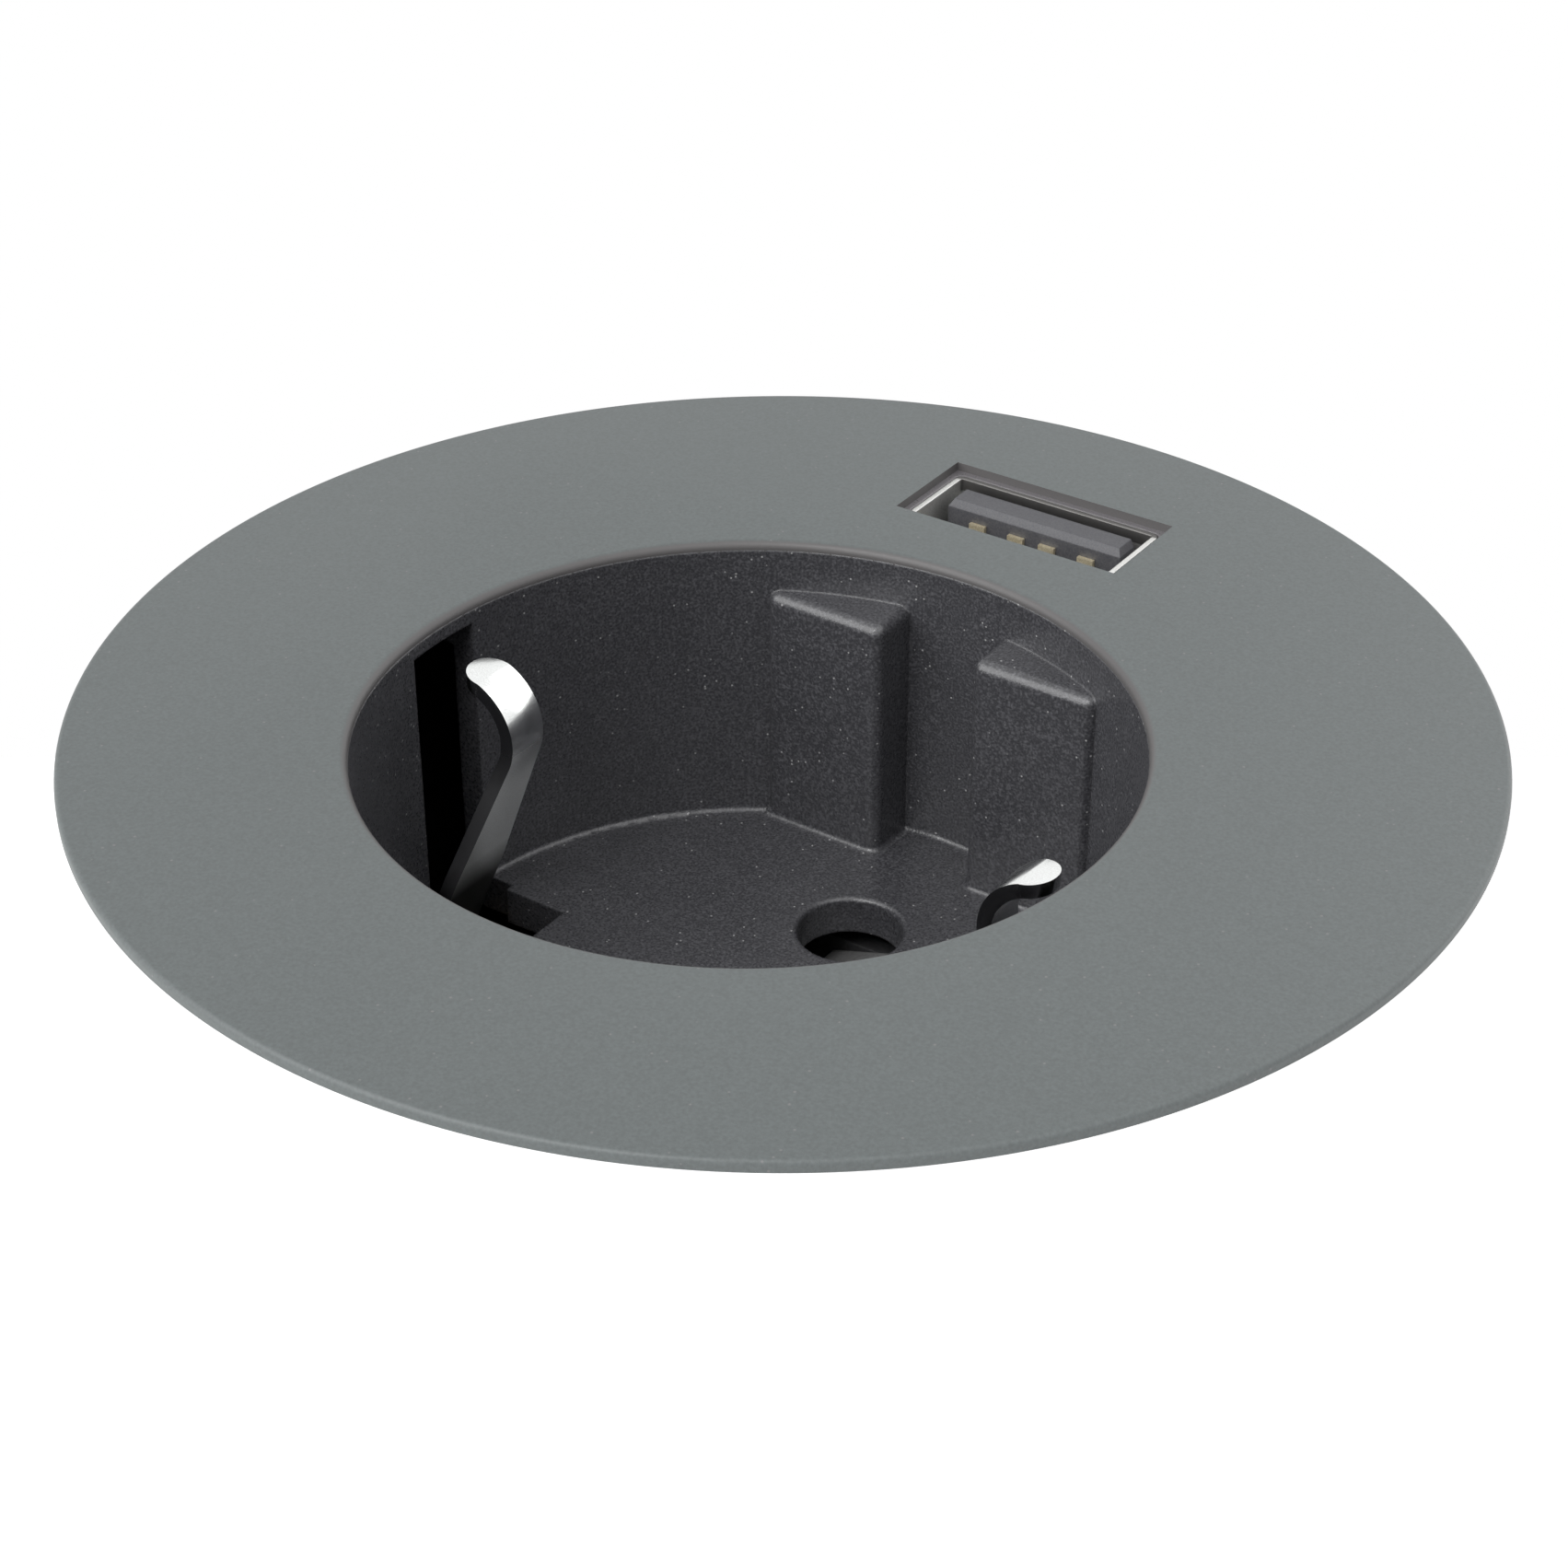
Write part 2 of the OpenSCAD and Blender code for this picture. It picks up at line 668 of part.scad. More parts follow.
module neutral_contact() {
    y = -well_shift + pin_pitch / 2;
    color([0.8, 0.66, 0.32]) {
        translate([0, y, 0]) tulip();
        stem(y);
        slab(-branch_x / 2, y, -branch_x + strip_w, strip_w, strip_top - strip_t, strip_top);
        strip(-branch_x, y + strip_w / 2, strip_end);
    }
}

// EARTH BAR: a strip bent round the carrier, with an upright under each leaf and a branch to the terminal
rivet_x = 6.5;
rivet_r = 1.1;
rivet_h = 5;
rivet_head_r = 1.8;
rivet_head_h = 0.7;

module earth_bar() {
    z0 = carrier_under + bar_groove - bar_t;
    color([0.78, 0.68, 0.42]) at_well() {
        difference() {
            union() {
                slab(0, 0, 2 * (bar_x + bar_t), strip_w, z0, z0 + bar_t);
                both_x() slab(bar_x + bar_t / 2, 0, bar_t, strip_w, z0, bar_top);
                slab(branch_x, (strip_end + well_shift) / 2, strip_w, -strip_end - well_shift, z0,
                    z0 + bar_t);
            }
            both_x() translate([bar_x, -strip_w, z0]) bend_cut();
            both_x() translate([rivet_x, 0, z0 - over])
                cylinder(r = rivet_r + slide_gap / 2, h = bar_t + 2 * over);
        }
    }
}

// Rounds the outside of the bar's lower bends
module bend_cut() {
    difference() {
        cube([bar_t + over, 2 * strip_w, bar_t]);
        translate([0, -over, bar_t]) rotate([-90, 0, 0])
            cylinder(r = bar_t, h = 2 * strip_w + 2 * over, $fn = 32);
    }
}

module earth_rivets() {
    z0 = carrier_under + bar_groove - bar_t;
    color([0.8, 0.66, 0.32]) at_well() both_x() translate([rivet_x, 0, 0]) {
        translate([0, 0, z0 - rivet_head_h]) cylinder(r = rivet_head_r, h = rivet_head_h, $fn = 32);
        translate([0, 0, z0 - rivet_head_h / 2]) cylinder(r = rivet_r, h = rivet_h - rivet_head_h, $fn = 32);
    }
}

// TERMINAL BLOCK: three ways, wires in from below beside their clamping screws
way_pitch = -branch_x;
wire_r = 1.4;
wire_depth = 8;
clamp_screw_r = 1.5;
clamp_screw_l = 3.6;
clamp_head_r = 1.8;
clamp_head_h = 1.2;
clamp_sink = 1.8;
wire_row = block_y - block_w / 2 + wire_r + 0.5;
screw_row = block_y;
block_under = block_top - block_h;

module terminal_block() {
    color([0.16, 0.16, 0.17]) difference() {
        soft_slab(0, block_y, block_l, block_w, block_under, block_top, 0.8);
        for (i = [-1 : 1]) translate([i * way_pitch, 0, block_under - over]) {
            translate([0, wire_row, 0]) cylinder(r = wire_r, h = wire_depth + over);
            translate([0, screw_row, 0])
                cylinder(r = clamp_screw_r, h = clamp_sink + clamp_screw_l + 2 * over);
            translate([0, screw_row, 0]) cylinder(r = clamp_head_r + hole_ease, h = clamp_sink + over);
        }
        for (i = [0, 1]) strip_slot(i * way_pitch, strip_top - strip_t);
        strip_slot(branch_x, carrier_under + bar_groove - bar_t);
        for (i = [0, 1]) lead_hole(i * way_pitch);
    }
}

module strip_slot(x, z) {
    slab(x, block_y + block_w / 2, strip_w + 2 * hole_ease, 2 * (strip_in + hole_ease),
        z - slide_gap, z + bar_t + slide_gap);
}

module terminal_screws() {
    color([0.75, 0.76, 0.76]) for (i = [-1 : 1])
        translate([i * way_pitch, screw_row, block_under + clamp_sink - hole_ease])
            screw(clamp_screw_l, clamp_screw_r - slide_gap, clamp_head_r, clamp_head_h);
}

// LEADS between the terminals, the power board and the port
lead_r = 0.7;
lead_hole_at = [2.9, 2.6];
lead_in = 3;
lead_turn = 0.5;
lead_lift = 0.8;
lead_edge = 2;
port_lead_x = 8.6;
port_lead_in = 3;
port_lead_out = 1;

module lead_hole(x) {
    translate([x + lead_hole_at[0], block_y + lead_hole_at[1], block_under - over])
        cylinder(r = lead_r + slide_gap, h = lead_in + 2 * over);
}

// A soft path between two points: it leaves and arrives upright, lifted in the middle
function ease(s) = s * s * (3 - 2 * s);
function lead_path(p, q, lift, n) = [for (i = [0 : n])
    let (s = i / n, e = ease(s))
    [p[0] + (q[0] - p[0]) * e, p[1] + (q[1] - p[1]) * e, p[2] + (q[2] - p[2]) * s + lift * sin(180 * s)]];

module mains_leads() {
    y = block_y + lead_hole_at[1];
    y_end = board_cut_y + lead_edge;
    foot = board_top + slide_gap / 2;
    color([0.3, 0.2, 0.15]) for (i = [0, 1]) {
        x = i * way_pitch + lead_hole_at[0];
        low = lead_path([x, y, block_under - lead_turn], [x, y_end, foot + lead_turn], lead_lift, 10);
        swept_tube(concat([[x, y, block_under + lead_in]], low, [[x, y_end, foot]]), lead_r, 8);
    }
}

module usb_leads() {
    x1 = port_lead_x + port_lead_out;
    y = port_y - port_lead_in;
    z = sleeve_under - board_t - slide_gap / 2;
    foot = board_top + slide_gap / 2;
    low = lead_path([port_lead_x, y, z - lead_turn], [x1, core_y, foot + lead_turn], 0, 12);
    color([0.55, 0.1, 0.1]) both_x()
        swept_tube(concat([[port_lead_x, y, z]], low, [[x1, core_y, foot]]), lead_r, 8);
}

// CHARGING PORT: metal shell, insulator with its tongue, contacts and a small board across its foot
tongue_top = shell_top - slide_gap / 2;
tongue_y = port_y + tongue_t / 2;
tongue_chamfer = [0.3, 0.42];
tongue_end = 0.24;
shell_in_round = 0.15;
foot_h = 3.6;
leg_l = 3.2;
leg_w = 1.2;
port_board_l = 26;
port_board_over = 3;

module usb_shell() {
    color([0.82, 0.82, 0.81]) {
        difference() {
            soft_slab(0, port_y, shell_l, shell_w, shell_top - shell_h, shell_top, shell_round);
            soft_slab(0, port_y, shell_l - 2 * shell_t, shell_w - 2 * shell_t,
                shell_top - shell_h - over, shell_top + over, shell_in_round);
        }
        both_x() for (s = [-1, 1])
            slab(shell_l / 2 - shell_t / 2, port_y + s * shell_w / 4, shell_t, leg_w,
                shell_top - shell_h - leg_l, shell_top - shell_h + over);
    }
}

module usb_insulator() {
    z0 = shell_top - shell_h + slide_gap / 2;
    y0 = tongue_y - tongue_t / 2;
    y1 = tongue_y + tongue_t / 2;
    color([0.3, 0.31, 0.32]) {
        difference() {
            soft_slab(0, port_y, shell_l - 2 * shell_t - slide_gap, shell_w - 2 * shell_t - slide_gap,
                z0, z0 + foot_h, shell_in_round);
            contact_set(slide_gap / 2);
        }
        difference() {
            translate([-tongue_l / 2, 0, 0]) rotate([90, 0, 90]) linear_extrude(tongue_l)
                polygon([
                    [y0, z0 + foot_h - over], [y1, z0 + foot_h - over], [y1, tongue_top],
                    [y0 + tongue_chamfer[0], tongue_top], [y0, tongue_top - tongue_chamfer[1]]
                ]);
            both_x() tongue_end_cut();
        }
    }
}

// Slopes the upper edge at the tongue's end like the one along its face
module tongue_end_cut() {
    translate([tongue_l / 2, tongue_y + tongue_t, tongue_top]) rotate([90, 0, 0])
        linear_extrude(2 * tongue_t)
        polygon([[-tongue_end, 0], [over, over], [over, -tongue_chamfer[1]], [0, -tongue_chamfer[1]]]);
}

contact_t = 0.25;
contact_drop = 1;

// Four flat contacts on the tongue's face towards the well, running down through the foot
module contact_set(gap) {
    y = tongue_y - tongue_t / 2 - contact_t / 2 - screw_fit;
    for (s = [-1, 1], x = [contact_inner / 2, contact_outer / 2])
        slab(s * x, y, contact_w + 2 * gap, contact_t + 2 * gap, shell_top - shell_h - leg_l,
            tongue_top - contact_drop);
}

module usb_contacts() {
    color([0.85, 0.72, 0.42]) contact_set(0);
}

module usb_board() {
    z1 = sleeve_under - slide_gap / 2;
    y0 = well_out_r - well_shift + free_gap;
    y1 = port_y + port_board_over;
    color([0.1, 0.3, 0.18]) difference() {
        intersection() {
            slab(0, (y0 + y1) / 2, port_board_l, y1 - y0, z1 - board_t, z1);
            translate([0, 0, z1 - board_t]) cylinder(r = cavity_r - free_gap, h = board_t);
        }
        contact_set(slide_gap);
        both_x() for (s = [-1, 1])
            slab(shell_l / 2 - shell_t / 2, port_y + s * shell_w / 4, shell_t + 2 * slide_gap,
                leg_w + 2 * slide_gap,
                z1 - board_t - over, z1 + over);
        both_x() translate([port_boss_x, port_boss_y, z1 - board_t - over])
            cylinder(r = pilot_r / 2 + hole_ease, h = board_t + 2 * over, $fn = 32);
    }
}

port_screw_l = 5;
port_screw_head_r = 1.3;
port_screw_head_h = 0.9;
screw_end = 0.5;

module usb_board_screws() {
    color([0.75, 0.76, 0.76]) both_x()
        translate([port_boss_x, port_boss_y, sleeve_under - slide_gap / 2 - board_t])
        screw(board_t + port_screw_l - screw_end, pilot_r / 2, port_screw_head_r, port_screw_head_h);
}

// POWER BOARD: the charger's circuit on pillars of the base cover
board_r = cavity_r - board_gap;
cord_free = 8;
board_cut_y = cord_y + cord_free;
pillar_in = 4;
pillar_a = 20;
pillar_x = (board_r - pillar_in) * cos(pillar_a);
pillar_y = (board_r - pillar_in) * sin(pillar_a);
pillar_at = [[-pillar_x, pillar_y], [pillar_x, pillar_y], [0, board_cut_y + pillar_in]];

module power_board() {
    color([0.1, 0.3, 0.18]) difference() {
        intersection() {
            translate([0, 0, board_top - board_t]) cylinder(r = board_r, h = board_t);
            slab(0, board_cut_y + board_r, 2 * board_r, 2 * board_r, board_top - board_t, board_top);
        }
        for (p = pillar_at) translate([p[0], p[1], board_top - board_t - over])
            cylinder(r = pilot_r + 0.3, h = board_t + 2 * over);
    }
}

module power_board_screws() {
    color([0.75, 0.76, 0.76]) for (p = pillar_at)
        translate([p[0], p[1], board_top]) mirror([0, 0, 1])
            screw(board_t + pillar_h - 1, pilot_r, screw_head_r, screw_head_h - 0.4);
}

core_in = 6;
core_y = board_r - core_in;
core_size = [14, 5, 12];
core_leg = 5;
winding_t = 2.6;

module transformer_core() {
    window_h = core_size[2] / 2;
    color([0.12, 0.12, 0.13]) difference() {
        slab(0, core_y, core_size[0], core_size[1], board_top, board_top + core_size[2]);
        both_x() slab(core_leg / 2 + winding_t / 2 + slide_gap, core_y, winding_t + 2 * slide_gap,
            core_size[1] + over, board_top + window_h / 2, board_top + 3 * window_h / 2);
    }
}

module transformer_winding() {
    window_h = core_size[2] / 2;
    z0 = board_top + window_h / 2 + slide_gap;
    z1 = board_top + 3 * window_h / 2 - slide_gap;
    color([0.75, 0.62, 0.15]) difference() {
        soft_slab(0, core_y, core_leg + 2 * winding_t, core_size[1] + 1.6 * winding_t, z0, z1, 0.8);
        slab(0, core_y, core_leg + 2 * slide_gap, core_size[1] + slide_gap, z0 - over, z1 + over);
    }
}

// Each capacitor is a can: x, distance in front of the core, radius, height
can_x = pillar_x - 4.9;
cans = [[-can_x, 4.5, 4, 6], [can_x, 4.5, 3.4, 6], [-can_x / 2, 15.5, 2.5, 5], [can_x / 2, 15.5, 2.5, 5]];
can_edge = 0.4;

module capacitors() {
    color([0.15, 0.17, 0.22]) for (c = cans) translate([c[0], core_y - c[1], board_top]) {
        cylinder(r = c[2], h = c[3] - can_edge);
        cylinder(r = c[2] - can_edge, h = c[3]);
    }
}

// HOUSING: a tube with a coarse moulded thread, lugs for the upper screws and bosses for the base
lug_z = -deck_t - boss_h;
lug_plate = 3;
base_boss_a = [90, 210, 330];
base_boss_in = 3;
base_boss_r = cavity_r - base_boss_in;
base_boss_h = 10;
pilot_end = 2;
housing_screw_grip = 4.6;
thread_foot = 4;
thread_from = -housing_h + thread_foot;
thread_to = -neck_h - 2.6;
thread_segments = 30;
ridge_half_root = 1.3;
ridge_half_crest = 0.7;
ridge_bury = 0.5;

// One helical ridge: four corners a step, climbing by the lead in each turn
function ridge_corners(a, r0, r1, z, w0, w1) =
    let (h = z + lead * a / 360)
    [[r0 * cos(a), r0 * sin(a), h - w0], [r1 * cos(a), r1 * sin(a), h - w1],
     [r1 * cos(a), r1 * sin(a), h + w1], [r0 * cos(a), r0 * sin(a), h + w0]];

module ridge(r0, r1, z, turns, w0, w1) {
    n = round(turns * thread_segments);
    pts = [for (i = [0 : n]) each ridge_corners(i * 360 / thread_segments, r0, r1, z, w0, w1)];
    walls = [for (i = [0 : n - 1], k = [0 : 3])
        let (a = 4 * i + k, b = 4 * i + (k + 1) % 4)
        each [[a, b, b + 4], [a, b + 4, a + 4]]];
    caps = [[3, 2, 1, 0], [4 * n, 4 * n + 1, 4 * n + 2, 4 * n + 3]];
    faces = concat(walls, caps);
    inward = r1 < r0;
    turned = [for (f = faces) [for (k = [len(f) - 1 : -1 : 0]) f[k]]];
    polyhedron(points = pts, faces = inward ? turned : faces, convexity = 10);
}

ridge_slope = (ridge_half_root - ridge_half_crest) / thread_depth;
housing_turns = floor((thread_to - thread_from) / lead * thread_segments) / thread_segments;

module housing() {
    color([0.16, 0.16, 0.17]) {
        difference() {
            union() {
                translate([0, 0, -neck_h]) cylinder(r = neck_r, h = neck_h - deck_t);
                translate([0, 0, -housing_h]) cylinder(r = root_r, h = housing_h - neck_h + over / 2);
                ridge(root_r - ridge_bury, crest_r, thread_from, housing_turns,
                    ridge_half_root + ridge_slope * ridge_bury, ridge_half_crest);
            }
            translate([0, 0, -housing_h - over]) cylinder(r = cavity_r, h = housing_h + over);
        }
        difference() {
            for (a = housing_screw_a) rotate([0, 0, a]) screw_lug();
            at_well() translate([0, 0, lug_z - lug_plate - over])
                cylinder(r = well_out_r + slide_gap, h = lug_plate + 2 * over);
        }
        for (a = base_boss_a) rotate([0, 0, a]) base_boss();
    }
}

// A lug reaches in from the wall under a boss of the front moulding
module screw_lug() {
    z0 = lug_z - lug_plate;
    difference() {
        intersection() {
            union() {
                translate([housing_screw_r, 0, z0]) cylinder(r = boss_r + 0.3, h = lug_plate);
                slab(housing_screw_r + boss_r, 0, 2 * boss_r, 2 * boss_r, z0, lug_z);
            }
            translate([0, 0, z0]) cylinder(r = cavity_r + housing_wall / 2, h = lug_plate);
        }
        translate([housing_screw_r, 0, z0 - over]) cylinder(r = pilot_r + 0.35, h = lug_plate + 2 * over);
    }
}

module base_boss() {
    difference() {
        intersection() {
            union() {
                translate([base_boss_r, 0, -housing_h]) cylinder(r = boss_r, h = base_boss_h);
                slab(base_boss_r + boss_r, 0, 2 * boss_r, 1.5 * boss_r, -housing_h,
                    -housing_h + base_boss_h);
            }
            translate([0, 0, -housing_h]) cylinder(r = cavity_r + housing_wall / 2, h = base_boss_h);
        }
        translate([base_boss_r, 0, -housing_h - over]) cylinder(r = pilot_r, h = base_boss_h - pilot_end);
    }
}

module housing_screws() {
    color([0.75, 0.76, 0.76]) for (a = housing_screw_a) rotate([0, 0, a])
        translate([housing_screw_r, 0, lug_z - lug_plate])
            screw(lug_plate + housing_screw_grip, pilot_r, screw_head_r, screw_head_h);
}

// BASE COVER: closes the housing, carries the power board, the cord inlet and the cord clamp
grommet_r = 6;
grommet_flange = 1.2;
clamp_x = 6.6;
cord_slack = 0.2;
clamp_boss_w = 2.8;
clamp_plate_t = 1.7;
clamp_screw_h = 4.2;
clamp_screw_z = -housing_h + clamp_screw_h;
clamp_boss_y = cord_y + cord_d / 2 + cord_slack + clamp_boss_w / 2;
clamp_plate_y = cord_y - cord_d / 2 - cord_slack - clamp_plate_t / 2;
head_sink = 1.4;
base_screw_grip = 6.5;
grommet_lip = 0.6;
grommet_lip_h = 1.4;
clamp_boss_h = 6.5;
clamp_cap_r = 2;
clamp_cap_h = 1.3;
clamp_plate_h = 4.6;
clamp_wing = 2.1;
base_edge = 0.6;
pillar_r = 2.6;

module base_cover() {
    spigot_r = cavity_r - slide_gap;
    color([0.16, 0.16, 0.17]) difference() {
        union() {
            translate([0, 0, base_under + base_edge]) cylinder(r = root_r, h = base_t - base_edge);
            translate([0, 0, base_under]) cylinder(r1 = root_r - base_edge, r2 = root_r, h = base_edge);
            difference() {
                ring(spigot_r, spigot_r - spigot_t, -housing_h - over / 2, -housing_h + 2);
                for (a = base_boss_a) rotate([0, 0, a])
                    slab(base_boss_r + boss_r, 0, 3 * boss_r, 2 * boss_r + 1, -housing_h,
                        -housing_h + 2 + over);
            }
            for (p = pillar_at) translate([p[0], p[1], -housing_h - over / 2])
                cylinder(r = pillar_r, h = pillar_h + over / 2);
            slab(0, clamp_boss_y, 2 * (clamp_x + clamp_wing), clamp_boss_w,
                -housing_h - over / 2, -housing_h + clamp_boss_h);
        }
        for (a = base_boss_a) rotate([0, 0, a]) translate([base_boss_r, 0, base_under - over]) {
            cylinder(r = pilot_r + 0.35, h = base_t + 2 * over);
            cylinder(r = screw_head_r + 0.3, h = head_sink + over);
        }
        for (p = pillar_at) translate([p[0], p[1], -housing_h - 0.5])
            cylinder(r = pilot_r, h = pillar_h + over);
        translate([0, cord_y, base_under - over])
            cylinder(r = grommet_r + slide_gap / 2, h = base_t + 2 * over);
        translate([0, cord_y, base_under - over])
            cylinder(r = grommet_r + grommet_flange + slide_gap / 2, h = 1 + over);
        translate([0, cord_y, -housing_h])
            cylinder(r = grommet_r + grommet_lip + slide_gap / 2, h = grommet_lip_h + slide_gap);
        both_x() translate([clamp_x, clamp_boss_y - clamp_boss_w, clamp_screw_z])
            rotate([-90, 0, 0]) cylinder(r = pilot_r, h = 2 * clamp_boss_w);
    }
}

module base_screws() {
    color([0.75, 0.76, 0.76]) for (a = base_boss_a) rotate([0, 0, a])
        translate([base_boss_r, 0, base_under + head_sink])
            screw(base_t - head_sink + base_screw_grip, pilot_r, screw_head_r, head_sink - free_gap);
}

module cord_grommet() {
    color([0.08, 0.08, 0.08]) translate([0, cord_y, 0]) difference() {
        union() {
            translate([0, 0, base_under + free_gap])
                cylinder(r = grommet_r, h = base_t - free_gap + grommet_lip_h - slide_gap);
            translate([0, 0, base_under + free_gap])
                cylinder(r = grommet_r + grommet_flange, h = 1 - free_gap);
            translate([0, 0, -housing_h])
                cylinder(r1 = grommet_r + grommet_lip, r2 = grommet_r, h = grommet_lip_h);
        }
        translate([0, 0, base_under - over]) cylinder(r = cord_d / 2, h = base_t + 4 * over);
    }
}

module cord_clamp() {
    color([0.16, 0.16, 0.17]) difference() {
        soft_slab(0, clamp_plate_y, 2 * (clamp_x + clamp_wing), clamp_plate_t,
            clamp_screw_z - clamp_plate_h / 2, clamp_screw_z + clamp_plate_h / 2, 0.5);
        both_x() translate([clamp_x, clamp_plate_y - clamp_plate_t, clamp_screw_z])
            rotate([-90, 0, 0]) cylinder(r = pilot_r + hole_ease, h = 2 * clamp_plate_t);
    }
}

module cord_clamp_screws() {
    l = clamp_boss_y - clamp_plate_y + clamp_plate_t / 2 + clamp_boss_w / 2 - free_gap;
    color([0.75, 0.76, 0.76]) both_x()
        translate([clamp_x, clamp_plate_y - clamp_plate_t / 2, clamp_screw_z])
            rotate([-90, 0, 0]) screw(l, pilot_r, clamp_cap_r, clamp_cap_h);
}

// CLAMP WASHER AND RING NUT: pull the flange down on the desk from below
washer_in_r = neck_r + 0.5;
nut_top = -desk_t - washer_t - slide_gap;
nut_bore_r = crest_r + thread_gap;
nut_crest_r = root_r + thread_gap + 0.1;
nut_ridge_end = 2.5;
nut_flange_t = 1.6;
grip_r = 2.4;
nut_edge = 0.8;

module clamp_washer() {
    c = washer_t / 4;
    r = washer_in_r + washer_w;
    z0 = -desk_t - washer_t;
    color([0.75, 0.76, 0.76]) difference() {
        union() {
            translate([0, 0, z0]) cylinder(r = r, h = washer_t - c);
            translate([0, 0, z0 + washer_t - c]) cylinder(r1 = r, r2 = r - c, h = c);
        }
        translate([0, 0, z0 - over]) cylinder(r = washer_in_r, h = washer_t + 2 * over);
    }
}

// The nut's ridge runs half a lead away from the housing's, at the same place round the axis
module nut_ridge() {
    z_low = nut_top - nut_h + nut_ridge_end;
    z_high = nut_top - nut_ridge_end;
    steps = ceil((z_low - thread_from) / lead - 0.5);
    z_start = thread_from + (steps + 0.5) * lead;
    half_crest = lead / 2 - ridge_half_crest - ridge_slope * (crest_r - nut_crest_r) - thread_gap;
    bury = nut_bore_r + ridge_bury - nut_crest_r;
    skip = (ceil((z_start - z_low) / lead * thread_segments) + 0.5) / thread_segments;
    rotate([0, 0, -360 * skip])
        ridge(nut_bore_r + ridge_bury, nut_crest_r, z_start - skip * lead, (z_high - z_low) / lead,
            half_crest + ridge_slope * bury, half_crest);
}

module ring_nut() {
    r = nut_bore_r + nut_wall;
    z0 = nut_top - nut_h;
    color([0.16, 0.16, 0.17]) union() {
        difference() {
            union() {
                translate([0, 0, z0 + nut_edge]) cylinder(r = r, h = nut_h - nut_edge);
                translate([0, 0, z0]) cylinder(r1 = r - nut_edge, r2 = r, h = nut_edge);
            }
            translate([0, 0, z0 - over]) cylinder(r = nut_bore_r, h = nut_h + 2 * over);
            for (i = [0 : nut_grips - 1]) rotate([0, 0, i * 360 / nut_grips])
                translate([r + grip_r / 2, 0, z0 - over])
                    cylinder(r = grip_r, h = nut_h + over - nut_flange_t, $fn = 32);
        }
        nut_ridge();
    }
}

trim_plate();
front_moulding();
earth_clip_left();
earth_clip_right();
shutter();
shutter_spring();
contact_carrier();
carrier_screws();
line_contact();
neutral_contact();
earth_bar();
earth_rivets();
terminal_block();
terminal_screws();
mains_leads();
usb_shell();
usb_insulator();
usb_contacts();
usb_board();
usb_board_screws();
power_board();
power_board_screws();
transformer_core();
transformer_winding();
capacitors();
usb_leads();
housing();
housing_screws();
base_cover();
base_screws();
cord_grommet();
cord_clamp();
cord_clamp_screws();
clamp_washer();
ring_nut();
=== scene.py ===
# Round desk socket under a thin flange: an earthed mains well beside one charging port
import math

import bmesh
import bpy
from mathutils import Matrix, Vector


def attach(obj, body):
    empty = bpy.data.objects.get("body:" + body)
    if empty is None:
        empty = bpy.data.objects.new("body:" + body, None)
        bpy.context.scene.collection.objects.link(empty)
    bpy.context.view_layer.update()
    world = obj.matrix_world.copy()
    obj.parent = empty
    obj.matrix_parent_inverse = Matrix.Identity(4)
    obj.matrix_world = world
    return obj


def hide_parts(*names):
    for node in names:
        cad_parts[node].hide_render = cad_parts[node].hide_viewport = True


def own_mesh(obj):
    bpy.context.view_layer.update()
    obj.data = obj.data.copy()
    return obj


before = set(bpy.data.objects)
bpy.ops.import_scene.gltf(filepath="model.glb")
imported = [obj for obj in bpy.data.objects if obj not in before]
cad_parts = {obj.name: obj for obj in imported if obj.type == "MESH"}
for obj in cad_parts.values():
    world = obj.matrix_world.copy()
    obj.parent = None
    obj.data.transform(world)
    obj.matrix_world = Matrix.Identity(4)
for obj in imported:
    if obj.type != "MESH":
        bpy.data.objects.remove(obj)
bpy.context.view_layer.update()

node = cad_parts
scene = bpy.context.scene
scene.view_settings.view_transform = "Standard"

# Camera: stands in front and to the right of the socket, looking down at the middle of the flange.
# Its place, aim and lens follow the photograph's own view, taken as 1703 by 1703.
photo_width = 1703
focal_pixels = 3452.8
aim_point = Vector((0.004207, -0.006064, 0.0006))
camera_azimuth = math.radians(34.36)
camera_elevation = math.radians(32.475)
camera_distance = 0.15346
camera_data = bpy.data.cameras.new("photo_camera")
camera_data.sensor_width = 36
camera_data.lens = camera_data.sensor_width * focal_pixels / photo_width
camera_data.clip_start = 0.005
camera_data.clip_end = 20
camera = bpy.data.objects.new("photo_camera", camera_data)
scene.collection.objects.link(camera)
towards_camera = Vector((
    math.sin(camera_azimuth) * math.cos(camera_elevation),
    -math.cos(camera_azimuth) * math.cos(camera_elevation),
    math.sin(camera_elevation),
))
camera.location = aim_point + towards_camera * camera_distance
camera.rotation_mode = "QUATERNION"
camera.rotation_quaternion = (-towards_camera).to_track_quat("-Z", "Y")
scene.camera = camera

# World: the white surroundings of a photo studio, seen by the camera, through glass and in metal.
# What lights the colours is a weak, slightly cool and even level.
world = bpy.data.worlds.new("white_studio")
scene.world = world
world.use_nodes = True
world_nodes = world.node_tree.nodes
world_links = world.node_tree.links
world_nodes.clear()
world_out = world_nodes.new("ShaderNodeOutputWorld")
seen_white = world_nodes.new("ShaderNodeBackground")
seen_white.inputs["Color"].default_value = (1, 1, 1, 1)
even_light = world_nodes.new("ShaderNodeBackground")
even_light.inputs["Color"].default_value = (0.96, 0.98, 1, 1)
even_light.inputs["Strength"].default_value = 0.06
ray_kind = world_nodes.new("ShaderNodeLightPath")
seen = world_nodes.new("ShaderNodeMath")
seen.operation = "MAXIMUM"
mirrored = world_nodes.new("ShaderNodeMath")
mirrored.operation = "MAXIMUM"
world_mix = world_nodes.new("ShaderNodeMixShader")
